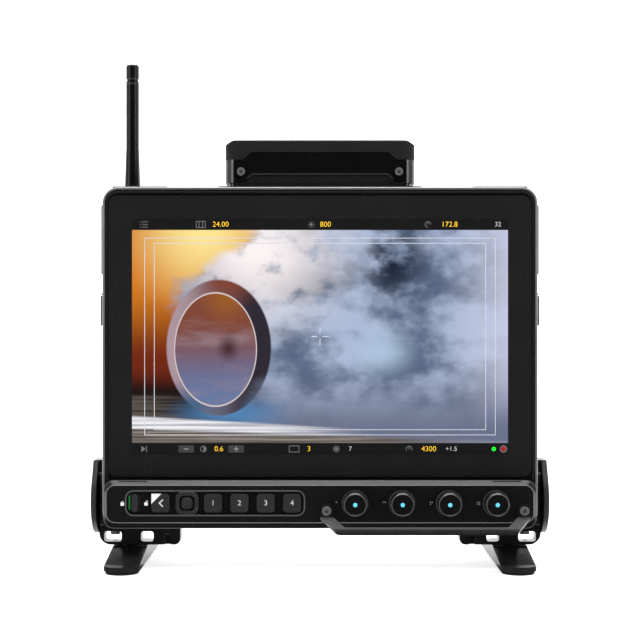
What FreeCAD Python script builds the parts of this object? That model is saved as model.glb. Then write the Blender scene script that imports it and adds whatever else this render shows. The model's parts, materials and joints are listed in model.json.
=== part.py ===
"""Camera field monitor on two table feet.

Millimetres. X is to the viewer's right, -Y is the screen side, +Z is up.
The origin is on the table, midway between the feet.
"""
import FreeCAD, Part
import math
import os
import re
import Sketcher
from FreeCAD import Placement, Rotation, Vector

doc = FreeCAD.newDocument("FieldMonitor")
sheet = doc.addObject("Spreadsheet::Sheet", "Sizes")

# Driving sizes. The panel sets the glass, and the glass sets the case. Depths run from the origin plane
# towards the viewer. Insets are measured from the side of the case, drops from its top, and shares are
# parts of its width. Heights on the receiver are measured from its foot plate.
SIZES = {
    # Feet and brackets
    "pad_thickness": 1.6, "leg_round": 0.6, "pad_inset": 1.1, "leg_height": 8.5, "leg_rim": 2.9,
    "leg_width": 20.4, "leg_length": 120.0, "leg_inset": 14.2, "leg_gap": 0.3, "ramp_top": 1.0,
    "bracket_height": 12.7, "bracket_depth": 11.0, "bracket_length": 43.7, "bracket_strip": 4.0,
    "bracket_strip_top": 30.2, "bracket_corner": 7.0, "bracket_edge": 0.35, "bracket_end_round": 3.4,
    "strip_round": 3.0, "window_low": 1.9, "window_high": 7.9, "window_round": 1.5,
    "outer_window_inset": 9.0, "outer_window_width": 10.2, "inner_window_inset": 27.8,
    "inner_window_width": 7.3, "notch_inset": 36.3, "notch_width": 3.4, "notch_height": 6.3,
    "notch_depth": 3.0, "lip_thickness": 2.4, "lip_depth": 20.0, "lip_round": 0.8,
    "bolt_radius": 3.1, "bolt_play": 0.1, "bolt_head_radius": 6.0, "bolt_head_height": 3.5,
    "bolt_head_room": 0.4, "bolt_reach": 8.0, "screw_radius": 1.5, "screw_play": 0.1,
    "screw_head_radius": 2.75, "screw_head_height": 2.2, "stand_screw_inset": 4.7, "socket_width": 2.5,
    "socket_depth": 1.2, "side_plate_thickness": 3.1, "side_plate_radius": 20.0,
    "side_plate_middle": 13.9, "side_plate_top": 37.6, "side_plate_neck": 17.0, "flange_thickness": 1.9,
    "flange_reach": 3.3, "plate_screw_low": 4.9, "plate_screw_high": 20.9, "bumper_gap": 0.2,
    # Monitor case
    "glass_side": 3.3, "chin_height": 28.7, "body_corner": 9.2, "body_clearance": 0.2,
    "front_plane": 28.0, "frame_depth": 6.0, "shell_depth": 39.0, "shell_wall": 2.4, "back_wall": 2.6,
    "shell_round": 2.0, "pad_round": 0.4, "rear_pad_margin": 11.5, "rear_pad_height": 1.5,
    "rear_pad_corner": 6.0, "rear_pad_edge": 0.6, "rim_width": 1.6, "rim_round": 0.8, "groove_width": 0.5,
    "groove_depth": 0.6, "pad_front": 17.0, "pad_length": 22.0, "top_pad_inner": 36.5,
    "top_pad_outer": 4.5, "top_pad_height": 1.4, "side_pad_height": 2.2, "upper_pad_start": 50.3,
    "upper_pad_end": 9.9, "bump_drop": 62.4, "bump_height": 1.0, "mount_pad_start": 80.3,
    "mount_pad_end": 62.8, "mount_pad_height": 2.5, "tripod_hole_radius": 2.55, "tripod_hole_depth": 10.0,
    "tripod_boss_radius": 5.5, "tripod_boss_wall": 2.0, "wall_mount_pitch": 75.0,
    "wall_mount_hole_radius": 1.65, "wall_mount_hole_depth": 7.0, "wall_mount_boss_radius": 4.5,
    "wall_mount_boss_length": 6.0, "wall_mount_rise": 6.5, "shell_screw_margin": 7.4,
    "shell_boss_radius": 5.4, "shell_screw_length": 12.0, "vent_width": 40.0, "vent_height": 2.4,
    "vent_pitch": 5.0, "vent_count": 8.0, "fan_rise": 43.5,
    # Screen
    "glass_corner": 5.0, "glass_margin": 4.7, "glass_thickness": 1.8, "glass_recess": 0.4,
    "glass_gap": 0.35, "glass_ledge": 4.7, "glass_edge": 0.3, "panel_width": 228.0, "panel_height": 146.0,
    "panel_margin": 4.0, "panel_corner": 1.5, "panel_thickness": 2.4, "tray_thickness": 7.4,
    # Boards, heat sink and fan
    "board_inset": 9.0, "board_trim": 25.0, "board_thickness": 1.6, "board_rise": 6.5, "board_front": 3.6,
    "standoff_radius": 3.0, "standoff_inset": 6.0, "sink_width": 96.0, "sink_margin": 3.0,
    "sink_x": -36.0, "sink_base": 3.0, "sink_gap": 0.4, "fin_thickness": 1.6, "fin_pitch": 6.0,
    "fin_count": 10.0, "fan_size": 40.0, "fan_margin": 3.0, "fan_depth": 10.0, "fan_corner": 3.0,
    "fan_bore": 18.6, "fan_hub": 9.0, "fan_blade": 18.0, "fan_blade_width": 7.0, "fan_pin_radius": 1.5,
    "fan_pin_play": 0.05, "fan_spoke": 3.0, "fan_web": 1.6, "fan_axial_gap": 0.5, "fan_hub_wall": 1.6,
    "fan_blade_count": 7.0,
    # Control bar
    "bar_depth": 8.5, "bar_inset": 1.5, "bar_gap": 1.2, "bar_corner": 6.0, "bar_side_slope": 2.0,
    "bar_top_slope": 2.6, "bar_bevel": 2.6, "bar_face_rise": 3.8, "bar_face_corner": 5.2, "bar_round": 0.5,
    "bar_wall": 3.0,
    "bar_room_inset": 8.0, "bar_room_height": 18.0, "bar_room_corner": 2.0, "control_row": 14.8,
    "board_setback": 3.0, "board_gap": 0.2, "tray_start_share": 0.4440476, "tray_end_share": 0.0333333,
    "tray_height": 15.1, "tray_corner": 5.0, "tray_sink": 1.6, "tray_rim": 0.8, "tray_floor": 0.5,
    "tray_play": 0.1, "key_pitch_share": 0.0599206, "key_last_share": 0.0634921, "key_width": 10.5,
    "key_height": 10.9, "key_corner": 2.2, "key_gap": 0.25, "key_sink": 0.2, "key_flange": 0.7,
    "key_flange_thickness": 1.0, "key_edge": 0.4, "key_travel": 0.5, "key_stem_radius": 1.5,
    "switch_width": 6.0, "switch_height": 3.5, "switch_button_radius": 1.6, "switch_button_height": 0.7,
    "switch_slack": 0.1, "lock_share": 0.4214286, "lock_slot_width": 8.4, "lock_slot_height": 11.9,
    "lock_grip_width": 3.8, "lock_grip_height": 10.5, "lock_grip_proud": 0.1, "lock_grip_edge": 0.5,
    "lock_plate_width": 11.2, "lock_plate_height": 13.6, "lock_plate_thickness": 1.0,
    "lock_plate_corner": 1.0, "lock_play": 0.2, "lock_stem": 2.0, "lock_switch_width": 9.0,
    # Joystick
    "stick_share": 0.302381, "ring_width": 13.2, "ring_corner": 4.0, "ring_proud": 0.4, "ring_edge": 0.5,
    "neck_width": 10.6, "neck_corner": 2.0, "well_width": 8.4, "well_corner": 1.8, "well_floor": 3.3,
    "gimbal_width": 6.8, "gimbal_room": 4.4, "gimbal_thickness": 1.4, "gimbal_height": 1.6,
    "trunnion_radius": 0.55, "trunnion_play": 0.08, "trunnion_bite": 0.6, "hub_radius": 1.7,
    "hub_drop": 1.1, "stem_radius": 1.2, "stem_reach": 3.7, "stem_bore": 0.8, "stem_bore_start": 0.5,
    "cap_width": 6.5, "cap_corner": 2.0, "cap_thickness": 2.4, "cap_edge": 0.7, "cap_gap": 0.7,
    "cap_pin_radius": 0.7, "cap_pin_length": 2.5,
    # Knobs
    "knob_start_share": 0.0793651, "knob_pitch_share": 0.1069444, "knob_radius": 7.0,
    "knob_skirt_radius": 7.5, "knob_height": 8.8, "knob_skirt_height": 0.8, "knob_gap": 1.2,
    "knob_rim": 1.1, "knob_dish": 0.25, "knob_edge": 0.95, "knob_room_radius": 4.8,
    "knob_room_depth": 3.3, "knob_stem_radius": 2.2, "knob_stem_tail": 0.5, "knob_flat": 1.7,
    "knob_play": 0.1, "encoder_width": 12.0, "encoder_height": 5.0, "encoder_bush_radius": 4.2,
    "encoder_bush_proud": 0.8, "encoder_bore_radius": 3.1, "encoder_room_radius": 4.9,
    "encoder_room_depth": 3.8, "bush_play": 0.15, "rotor_radius": 3.0, "rotor_flange_radius": 4.5,
    "rotor_flange_thickness": 1.2, "rotor_gap": 0.3, "rotor_end": 2.1, "light_radius": 1.15,
    "light_play": 0.15, "light_sink": 0.7,
    # Knob guard
    "guard_thickness": 1.4, "guard_end_gap": 16.175, "guard_lug_width": 7.4, "guard_lug_top": 14.9,
    "guard_bend": 6.8, "guard_reach": 18.2, "guard_angle": 22.3, "guard_splay": 5.8, "guard_bar": 6.5,
    "guard_arm_width": 4.4, "guard_outer_round": 4.0, "guard_inner_round": 2.5,
    "guard_screw_height": 10.6, "guard_screw_head": 2.65, "guard_head_height": 1.4,
    "guard_screw_length": 3.8,
    # Receiver
    "foot_width": 120.4, "foot_thickness": 1.2, "foot_depth": 40.0, "foot_corner": 4.0,
    "receiver_width": 111.0, "receiver_depth": 44.0, "receiver_corner": 8.0, "neck_inset": 2.2,
    "neck_height": 1.8, "receiver_end": 15.3, "receiver_shoulder": 19.6, "receiver_top": 26.7,
    "shoulder_out": 44.6, "shoulder_in": 39.8, "cover_slope_height": 2.6, "cover_slope_length": 5.0,
    "cover_round": 1.2, "receiver_wall": 2.5, "receiver_floor": 5.6, "panel_half": 50.5,
    "panel_sink": 1.8, "panel_sheet": 1.4, "panel_gap": 0.4, "panel_low": 5.4, "panel_foot_out": 43.7,
    "recess_depth": 4.0, "receiver_screw_place": 46.0, "receiver_screw_height": 8.3,
    "receiver_screw_head": 2.35, "radio_board_width": 100.0,
    # Antenna
    "antenna_inset": 10.6, "antenna_drop": 16.9, "antenna_reach": 13.0, "jack_radius": 3.1,
    "jack_length": 6.0, "jack_nut_radius": 4.6, "jack_nut_height": 2.0, "jack_play": 0.08,
    "collar_radius": 4.8, "collar_gap": 0.5, "collar_length": 5.8, "knuckle_radius": 4.5,
    "knuckle_half": 4.8, "tang_half": 2.2, "tang_play": 0.3, "hinge_pin_radius": 1.2,
    "hinge_pin_play": 0.05, "whip_start": 5.2, "whip_foot_radius": 5.0, "whip_foot_end": 17.0,
    "whip_radius": 4.0, "whip_straight": 46.5, "whip_length": 97.0, "whip_groove": 86.5,
    "whip_groove_width": 1.6, "whip_groove_depth": 0.5, "whip_tip_round": 1.6,
    # Rear sockets and power button
    "socket_drop": 17.0, "socket_first": -64.0, "socket_pitch": 26.0, "socket_radius": 4.8,
    "socket_length": 11.0, "socket_bore": 4.0, "socket_core": 2.4, "socket_nut_radius": 7.2,
    "socket_nut_height": 2.4, "inlet_radius": 6.0, "inlet_length": 5.0, "inlet_bore": 4.4,
    "inlet_recess": 1.2, "inlet_place": 30.0, "power_x": 96.0, "power_radius": 5.0, "power_gap": 0.3,
    "power_proud": 1.6, "power_flange": 1.2, "power_flange_thickness": 1.2, "power_edge": 0.4,
}
for row, (alias, number) in enumerate(SIZES.items(), 1):
    sheet.set("A%d" % row, alias)
    sheet.set("B%d" % row, str(number))
    sheet.setAlias("B%d" % row, alias)
doc.recompute()

# Places that several pieces share.
GLASS_WIDTH = "(panel_width + 2 * panel_margin + 2 * glass_ledge)"
GLASS_HEIGHT = "(panel_height + 2 * panel_margin + 2 * glass_ledge)"
BODY_WIDTH = f"({GLASS_WIDTH} + 2 * glass_side)"
BODY_HEIGHT = f"({GLASS_HEIGHT} + glass_margin + chin_height)"
HALF = f"({BODY_WIDTH} / 2)"
BRACKET_BASE = "(pad_thickness + leg_height + leg_gap)"
BASE = "(pad_thickness + leg_height + leg_gap + bracket_height)"
TOP = f"({BASE} + {BODY_HEIGHT})"
MIDDLE = f"({BASE} + {BODY_HEIGHT} / 2)"
FRAME_BACK = "(front_plane - frame_depth)"
SHELL_BACK = "(front_plane - frame_depth - shell_depth)"
REAR_FACE = "(front_plane - frame_depth - shell_depth - rear_pad_height)"
SHELL_INSIDE = "(front_plane - frame_depth - shell_depth + back_wall)"
GLASS_MIDDLE = f"({TOP} - glass_margin - {GLASS_HEIGHT} / 2)"
GLASS_FRONT = "(front_plane - glass_recess)"
GLASS_BACK = "(front_plane - glass_recess - glass_thickness)"
FACE = "(front_plane + bar_depth)"
BAR_INSIDE = "(front_plane + bar_depth - bar_wall)"
ROW = f"({BASE} + control_row)"
TRAY_SEAT = "(front_plane + bar_depth - tray_sink)"
TRAY_FLOOR = "(front_plane + bar_depth - tray_sink + tray_floor)"
BOARD_BACK = "(front_plane - board_setback)"
BOARD_FACE = f"({BOARD_BACK} + board_thickness)"
LEG_AXIS = "(bracket_depth / 2)"
STRIP_IN = f"({BODY_WIDTH} / 2 + body_clearance)"
STRIP_OUT = f"({BODY_WIDTH} / 2 + body_clearance + bracket_strip)"
KNOB_BASE = "(front_plane + bar_depth + knob_gap)"
KNOB_FRONT = "(front_plane + bar_depth + knob_gap + knob_height)"
ANTENNA_Y = f"(0 - {SHELL_BACK} + antenna_reach)"
KNOB_START = f"({BODY_WIDTH} * knob_start_share)"
KNOB_PITCH = f"({BODY_WIDTH} * knob_pitch_share)"
GUARD_X = f"({KNOB_START} + 1.5 * {KNOB_PITCH})"
GUARD_HALF = f"(1.5 * {KNOB_PITCH} + guard_end_gap)"
GUARD_FRONT = f"({GUARD_HALF} - guard_splay)"
GUARD_INNER = f"({GUARD_FRONT} - guard_arm_width)"
FOOT_TOP = f"({TOP} + foot_thickness)"
PIVOT = f"({BOARD_FACE} + well_floor + gimbal_height)"

# Places across the case.
LEG_X = f"({HALF} - leg_inset)"
STAND_SCREW_X = f"({HALF} - stand_screw_inset)"
SHELL_SCREW_X = f"({HALF} - shell_screw_margin)"
TOP_PAD_IN = f"({HALF} - top_pad_inner)"
TOP_PAD_OUT = f"({HALF} - top_pad_outer)"
BRACKET_END = f"({HALF} - bracket_length)"
OUTER_WINDOW_IN = f"({HALF} - outer_window_inset)"
OUTER_WINDOW_OUT = f"({HALF} - outer_window_inset + outer_window_width)"
INNER_WINDOW_IN = f"({HALF} - inner_window_inset)"
INNER_WINDOW_OUT = f"({HALF} - inner_window_inset + inner_window_width)"
NOTCH_X = f"({HALF} - notch_inset)"
ANTENNA_X = f"({HALF} - antenna_inset)"
BAR_WIDTH = f"({BODY_WIDTH} - 2 * bar_inset)"
BAR_FACE_WIDTH = f"({BAR_WIDTH} - 2 * bar_side_slope)"
BAR_ROOM_WIDTH = f"({BODY_WIDTH} - 2 * bar_room_inset)"
BAR_HEIGHT = "(chin_height - bar_gap)"
BAR_FACE_HEIGHT = f"({BAR_HEIGHT} - bar_face_rise - bar_top_slope)"
BOARD_WIDTH = "(panel_width - 2 * board_inset)"
BOARD_HEIGHT = "(panel_height - 2 * board_trim)"
SINK_HEIGHT = "(wall_mount_pitch - 2 * wall_mount_boss_radius - 2 * sink_margin)"
REAR_PAD = "(wall_mount_pitch + 2 * rear_pad_margin)"
FAN_X = f"({BOARD_WIDTH} / 2 - standoff_inset - standoff_radius - fan_margin - fan_size / 2)"
KEY_PITCH = f"({BODY_WIDTH} * key_pitch_share)"
KEY_LAST = f"({BODY_WIDTH} * key_last_share)"
LOCK_X = f"({BODY_WIDTH} * lock_share)"
STICK_X = f"({BODY_WIDTH} * stick_share)"
TRAY_START = f"({BODY_WIDTH} * tray_start_share)"
TRAY_END = f"({BODY_WIDTH} * tray_end_share)"

# Heights on the case.
STRIP_TOP = f"({BASE} + bracket_strip_top)"
PLATE_MIDDLE = f"({BASE} + side_plate_middle)"
PLATE_TOP = f"({BASE} + side_plate_top)"
PLATE_SCREWS = (f"({BASE} + plate_screw_low)", f"({BASE} + plate_screw_high)")
GUARD_TOP = f"({BASE} + guard_lug_top)"
GUARD_BEND = f"({BASE} + guard_bend)"
GUARD_SCREW = f"({BASE} + guard_screw_height)"
WALL_MOUNT = f"({MIDDLE} + wall_mount_rise)"
BOARD_MIDDLE = f"({MIDDLE} + board_rise)"
FAN_Z = f"({MIDDLE} + fan_rise)"
SOCKET_ROW = f"({WALL_MOUNT} - {REAR_PAD} / 2 - socket_drop)"
ANTENNA_Z = f"({TOP} - antenna_drop)"
UPPER_PAD_LOW = f"({TOP} - upper_pad_start)"
UPPER_PAD_HIGH = f"({TOP} - upper_pad_end)"
BUMP_LOW = f"({TOP} - bump_drop)"
MOUNT_PAD_LOW = f"({TOP} - mount_pad_start)"
MOUNT_PAD_HIGH = f"({TOP} - mount_pad_end)"

# Heights carried by the receiver's foot plate.
CASE_END = f"({FOOT_TOP} + receiver_end)"
SHOULDER = f"({FOOT_TOP} + receiver_shoulder)"
COVER_TOP = f"({FOOT_TOP} + receiver_top)"
PANEL_LOW = f"({FOOT_TOP} + panel_low)"
RECEIVER_SCREW = f"({FOOT_TOP} + receiver_screw_height)"

WORD = re.compile(r"\b([a-z]+_[a-z_]+)\b")


def size(formula):
    """The present value of a formula of sheet sizes."""
    return float(sheet.evalExpression(formula))


def bind(thing, path, formula):
    """Ties a property to a formula of sheet sizes."""
    thing.setExpression(path, WORD.sub(r"Sizes.\1", formula))


def new_body(label, x="0", y="0", z="0"):
    body = doc.addObject("PartDesign::Body", label)
    body.Label = label
    for axis, formula in zip("xyz", (x, y, z)):
        if formula != "0":
            bind(body, "Placement.Base." + axis, formula)
    return body


def draw(body, plane, height="0"):
    """A sketch on one of the body's own planes: front XZ, top XY or side YZ, moved along its normal."""
    role = {"front": "XZ_Plane", "top": "XY_Plane", "side": "YZ_Plane"}[plane]
    flat = next(item for item in body.Origin.OriginFeatures if item.Role == role)
    sketch = body.newObject("Sketcher::SketchObject", body.Name + "_sketch")
    sketch.AttachmentSupport = [(flat, "")]
    sketch.MapMode = "FlatFace"
    if height != "0":
        bind(sketch, "AttachmentOffset.Base.z", height)
    return sketch


def rule(sketch, kind, *parts):
    """A driven dimension: the last part is its formula."""
    index = sketch.addConstraint(Sketcher.Constraint(kind, *parts[:-1], size(parts[-1])))
    bind(sketch, "Constraints[%d]" % index, parts[-1])


def pin(sketch, shape, point, x, y):
    """Ties a point of a sketch to its place."""
    rule(sketch, "DistanceX", -1, 1, shape, point, x)
    rule(sketch, "DistanceY", -1, 1, shape, point, y)


def circle(sketch, x, y, radius):
    index = sketch.addGeometry(Part.Circle(Vector(size(x), size(y), 0), Vector(0, 0, 1), size(radius)))
    pin(sketch, index, 3, x, y)
    rule(sketch, "Radius", index, radius)


def outline(sketch, points):
    """A closed polygon through places given by formulas."""
    first = sketch.GeometryCount
    spots = [Vector(size(x), size(y), 0) for x, y in points]
    count = len(spots)
    for index in range(count):
        sketch.addGeometry(Part.LineSegment(spots[index], spots[(index + 1) % count]))
    for index, (x, y) in enumerate(points):
        after = first + (index + 1) % count
        sketch.addConstraint(Sketcher.Constraint("Coincident", first + index, 2, after, 1))
        pin(sketch, first + index, 1, x, y)


def block(sketch, x_low, x_high, y_low, y_high):
    outline(sketch, [(x_low, y_low), (x_high, y_low), (x_high, y_high), (x_low, y_high)])


def arc(x, y, radius, start):
    around = Part.Circle(Vector(x, y, 0), Vector(0, 0, 1), radius)
    return Part.ArcOfCircle(around, math.radians(start), math.radians(start + 90))


def rounded(sketch, x, y, width, height, radius):
    """A rectangle about a place, with round corners."""
    r = size(radius)
    left = size(f"{x} - {width} / 2")
    right = size(f"{x} + {width} / 2")
    low = size(f"{y} - {height} / 2")
    high = size(f"{y} + {height} / 2")
    first = sketch.GeometryCount
    sketch.addGeometry([
        Part.LineSegment(Vector(left + r, low, 0), Vector(right - r, low, 0)),
        arc(right - r, low + r, r, -90),
        Part.LineSegment(Vector(right, low + r, 0), Vector(right, high - r, 0)),
        arc(right - r, high - r, r, 0),
        Part.LineSegment(Vector(right - r, high, 0), Vector(left + r, high, 0)),
        arc(left + r, high - r, r, 90),
        Part.LineSegment(Vector(left, high - r, 0), Vector(left, low + r, 0)),
        arc(left + r, low + r, r, 180),
    ])
    for index in range(8):
        after = first + (index + 1) % 8
        sketch.addConstraint(Sketcher.Constraint("Tangent", first + index, 2, after, 1))
    for index in (0, 4):
        sketch.addConstraint(Sketcher.Constraint("Horizontal", first + index))
    for index in (2, 6):
        sketch.addConstraint(Sketcher.Constraint("Vertical", first + index))
    for index in (3, 5, 7):
        sketch.addConstraint(Sketcher.Constraint("Equal", first + 1, first + index))
    rule(sketch, "Radius", first + 1, radius)
    rule(sketch, "DistanceX", -1, 1, first + 6, 1, f"{x} - {width} / 2")
    rule(sketch, "DistanceX", -1, 1, first + 2, 1, f"{x} + {width} / 2")
    rule(sketch, "DistanceY", -1, 1, first, 1, f"{y} - {height} / 2")
    rule(sketch, "DistanceY", -1, 1, first + 4, 1, f"{y} + {height} / 2")


def upright_slot(sketch, x, y, width, height):
    """A slot with round ends, standing along the sketch's own Y."""
    r = size(f"{width} / 2")
    across = size(x)
    low = size(f"{y} - ({height} - {width}) / 2")
    high = size(f"{y} + ({height} - {width}) / 2")
    first = sketch.GeometryCount
    top = Part.Circle(Vector(across, high, 0), Vector(0, 0, 1), r)
    bottom = Part.Circle(Vector(across, low, 0), Vector(0, 0, 1), r)
    sketch.addGeometry([
        Part.LineSegment(Vector(across + r, low, 0), Vector(across + r, high, 0)),
        Part.ArcOfCircle(top, 0, math.pi),
        Part.LineSegment(Vector(across - r, high, 0), Vector(across - r, low, 0)),
        Part.ArcOfCircle(bottom, math.pi, 2 * math.pi),
    ])
    for index in range(4):
        after = first + (index + 1) % 4
        sketch.addConstraint(Sketcher.Constraint("Tangent", first + index, 2, after, 1))
    sketch.addConstraint(Sketcher.Constraint("Vertical", first))
    rule(sketch, "Radius", first + 1, f"{width} / 2")
    pin(sketch, first + 1, 3, x, f"{y} + ({height} - {width}) / 2")
    rule(sketch, "DistanceY", -1, 1, first + 3, 3, f"{y} - ({height} - {width}) / 2")


def pad(body, sketch, length, reverse=False):
    feature = body.newObject("PartDesign::Pad", body.Name + "_pad")
    feature.Profile = sketch
    feature.Reversed = reverse
    bind(feature, "Length", length)
    return feature


def pocket(body, sketch, length, reverse=False):
    feature = body.newObject("PartDesign::Pocket", body.Name + "_pocket")
    feature.Profile = sketch
    feature.Reversed = reverse
    bind(feature, "Length", length)
    return feature


def turned(body, profile, axis="H_Axis"):
    """A full turn of a half profile about an axis of its own sketch."""
    sketch = draw(body, "side")
    outline(sketch, profile)
    feature = body.newObject("PartDesign::Revolution", body.Name + "_turned")
    feature.Profile = sketch
    feature.ReferenceAxis = (sketch, [axis])
    feature.Angle = 360
    return feature


def soften(body, kind, radius, wanted):
    """Rounds or chamfers the edges of the body for which wanted(edge) is true."""
    doc.recompute()
    base = body.Tip
    names = ["Edge%d" % (i + 1) for i, edge in enumerate(base.Shape.Edges) if wanted(edge)]
    if not names:
        raise ValueError("no edge to soften on " + body.Label)
    feature = body.newObject("PartDesign::" + kind, body.Name + "_" + kind.lower())
    feature.Base = (base, names)
    bind(feature, "Radius" if kind == "Fillet" else "Size", radius)


def at_depth(formula):
    """Chooses the edges that lie wholly at one depth."""
    y = -size(formula)
    return lambda edge: abs(edge.BoundBox.YMin - y) < 1e-4 and abs(edge.BoundBox.YMax - y) < 1e-4


def upright_at(places):
    """Chooses the edges along Z that stand at one of the given places in X and Y."""
    spots = [(size(x), size(y)) for x, y in places]

    def wanted(edge):
        box = edge.BoundBox
        if box.ZLength < 1e-3 or box.XLength > 1e-3 or box.YLength > 1e-3:
            return False
        return any(abs(box.XMin - x) < 1e-3 and abs(box.YMin - y) < 1e-3 for x, y in spots)
    return wanted


def along_depth_at(places):
    """Chooses the edges along Y that pass one of the given places in X and Z."""
    spots = [(size(x), size(z)) for x, z in places]

    def wanted(edge):
        box = edge.BoundBox
        if box.YLength < 1e-3 or box.XLength > 1e-3 or box.ZLength > 1e-3:
            return False
        return any(abs(box.XMin - x) < 1e-3 and abs(box.ZMin - z) < 1e-3 for x, z in spots)
    return wanted


def mirrored(label, source):
    """The same piece on the other side of the monitor."""
    copy = doc.addObject("Part::Mirroring", label)
    copy.Label = label
    copy.Source = source
    copy.Normal = Vector(1, 0, 0)
    return copy


def group(label, members):
    """Several like pieces that share one node."""
    bundle = doc.addObject("Part::Compound", label)
    bundle.Label = label
    bundle.Links = members
    return bundle


def cap_screw(name, place, facing, head_radius, head_height, length):
    """A socket screw along +Z from its head's underside, then turned and put in place."""
    body = new_body(name)
    pad(body, ring_sketch(body, head_radius), head_height, reverse=True)
    pad(body, ring_sketch(body, "screw_radius"), length)
    hexagon = draw(body, "top", f"0 - {head_height}")
    half = size("socket_width / 2")
    turns = [math.radians(60 * k) for k in range(6)]
    corners = [Vector(half * math.cos(turn), half * math.sin(turn), 0) for turn in turns]
    for k in range(6):
        hexagon.addGeometry(Part.LineSegment(corners[k], corners[(k + 1) % 6]))
    for k in range(6):
        hexagon.addConstraint(Sketcher.Constraint("Coincident", k, 2, (k + 1) % 6, 1))
        pin(hexagon, k, 1, f"socket_width / 2 * cos({60 * k})", f"socket_width / 2 * sin({60 * k})")
    pocket(body, hexagon, "socket_depth", reverse=True)
    body.Placement = Placement(Vector(0, 0, 0), facing)
    for axis, formula in zip("xyz", place):
        bind(body, "Placement.Base." + axis, formula)
    return body


def ring_sketch(body, radius):
    sketch = draw(body, "top")
    circle(sketch, "0", "0", radius)
    return sketch


POINT_UP = Rotation()
POINT_BACK = Rotation(Vector(1, 0, 0), -90)
POINT_FRONT = Rotation(Vector(1, 0, 0), 90)
POINT_RIGHT = Rotation(Vector(0, 1, 0), 90)


# Rear shell: a tub that holds everything, with mounting pads on its top and sides.
def make_rear_shell():
    body = new_body("rear_shell")
    plan = draw(body, "front", FRAME_BACK)
    rounded(plan, "0", MIDDLE, BODY_WIDTH, BODY_HEIGHT, "body_corner")
    pad(body, plan, "shell_depth", reverse=True)
    soften(body, "Fillet", "shell_round", at_depth(SHELL_BACK))
    pads = draw(body, "front", "pad_front")
    for side in ("", "-"):
        low = f"{side}({BODY_WIDTH} / 2 - shell_wall)"
        block(pads, low, f"{side}({BODY_WIDTH} / 2 + side_pad_height)", UPPER_PAD_LOW, UPPER_PAD_HIGH)
        block(pads, low, f"{side}({BODY_WIDTH} / 2 + side_pad_height)", BUMP_LOW, f"{BUMP_LOW} + bump_height")
        block(pads, low, f"{side}({BODY_WIDTH} / 2 + mount_pad_height)", MOUNT_PAD_LOW, MOUNT_PAD_HIGH)
        block(pads, f"{side}{TOP_PAD_IN}", f"{side}{TOP_PAD_OUT}", f"{TOP} - shell_wall",
              f"{TOP} + top_pad_height")
    pad(body, pads, "pad_length", reverse=True)
    soften(body, "Fillet", "pad_round", on_pad_faces)
    plate = draw(body, "front", SHELL_BACK)
    rounded(plate, "0", WALL_MOUNT, REAR_PAD, REAR_PAD, "rear_pad_corner")
    pad(body, plate, "rear_pad_height", reverse=True)
    soften(body, "Chamfer", "rear_pad_edge", at_depth(REAR_FACE))
    hollow = draw(body, "front", FRAME_BACK)
    inside = f"({BODY_WIDTH} - 2 * shell_wall)"
    rounded(hollow, "0", MIDDLE, inside, f"({BODY_HEIGHT} - 2 * shell_wall)", "(body_corner - shell_wall)")
    pocket(body, hollow, "shell_depth - back_wall")
    shell_bosses(body)
    shell_holes(body)
    return body


def on_pad_faces(edge):
    """Chooses the outer edges of the mounting pads on the shell."""
    box = edge.BoundBox
    across = min(abs(box.XMin), abs(box.XMax)) - size(f"{BODY_WIDTH} / 2")
    over = box.ZMin - size(TOP)
    heights = [size("side_pad_height"), size("mount_pad_height")]
    if box.XLength < 1e-3 and any(abs(across - height) < 1e-3 for height in heights):
        return True
    return abs(over - size("top_pad_height")) < 1e-3


PAD_DEPTH = "(pad_front - pad_length / 2)"
TRIPOD_TOP = f"({TOP_PAD_IN} / 2 + {TOP_PAD_OUT} / 2)"
TRIPOD_SIDE = f"({MOUNT_PAD_LOW} / 2 + {MOUNT_PAD_HIGH} / 2)"
SCREW_LOW = f"({BASE} + shell_screw_margin)"
SCREW_HIGH = f"({TOP} - shell_screw_margin)"


def corner_places(x, low, high):
    return [(x, low), (x, high), ("-" + x, low), ("-" + x, high)]


def standoffs():
    reach = f"({BOARD_HEIGHT} / 2 - standoff_inset)"
    return corner_places(f"({BOARD_WIDTH} / 2 - standoff_inset)", f"({BOARD_MIDDLE} - {reach})",
                         f"({BOARD_MIDDLE} + {reach})")


def wall_mounts():
    half = "wall_mount_pitch / 2"
    return corner_places(f"({half})", f"({WALL_MOUNT} - {half})", f"({WALL_MOUNT} + {half})")


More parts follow.
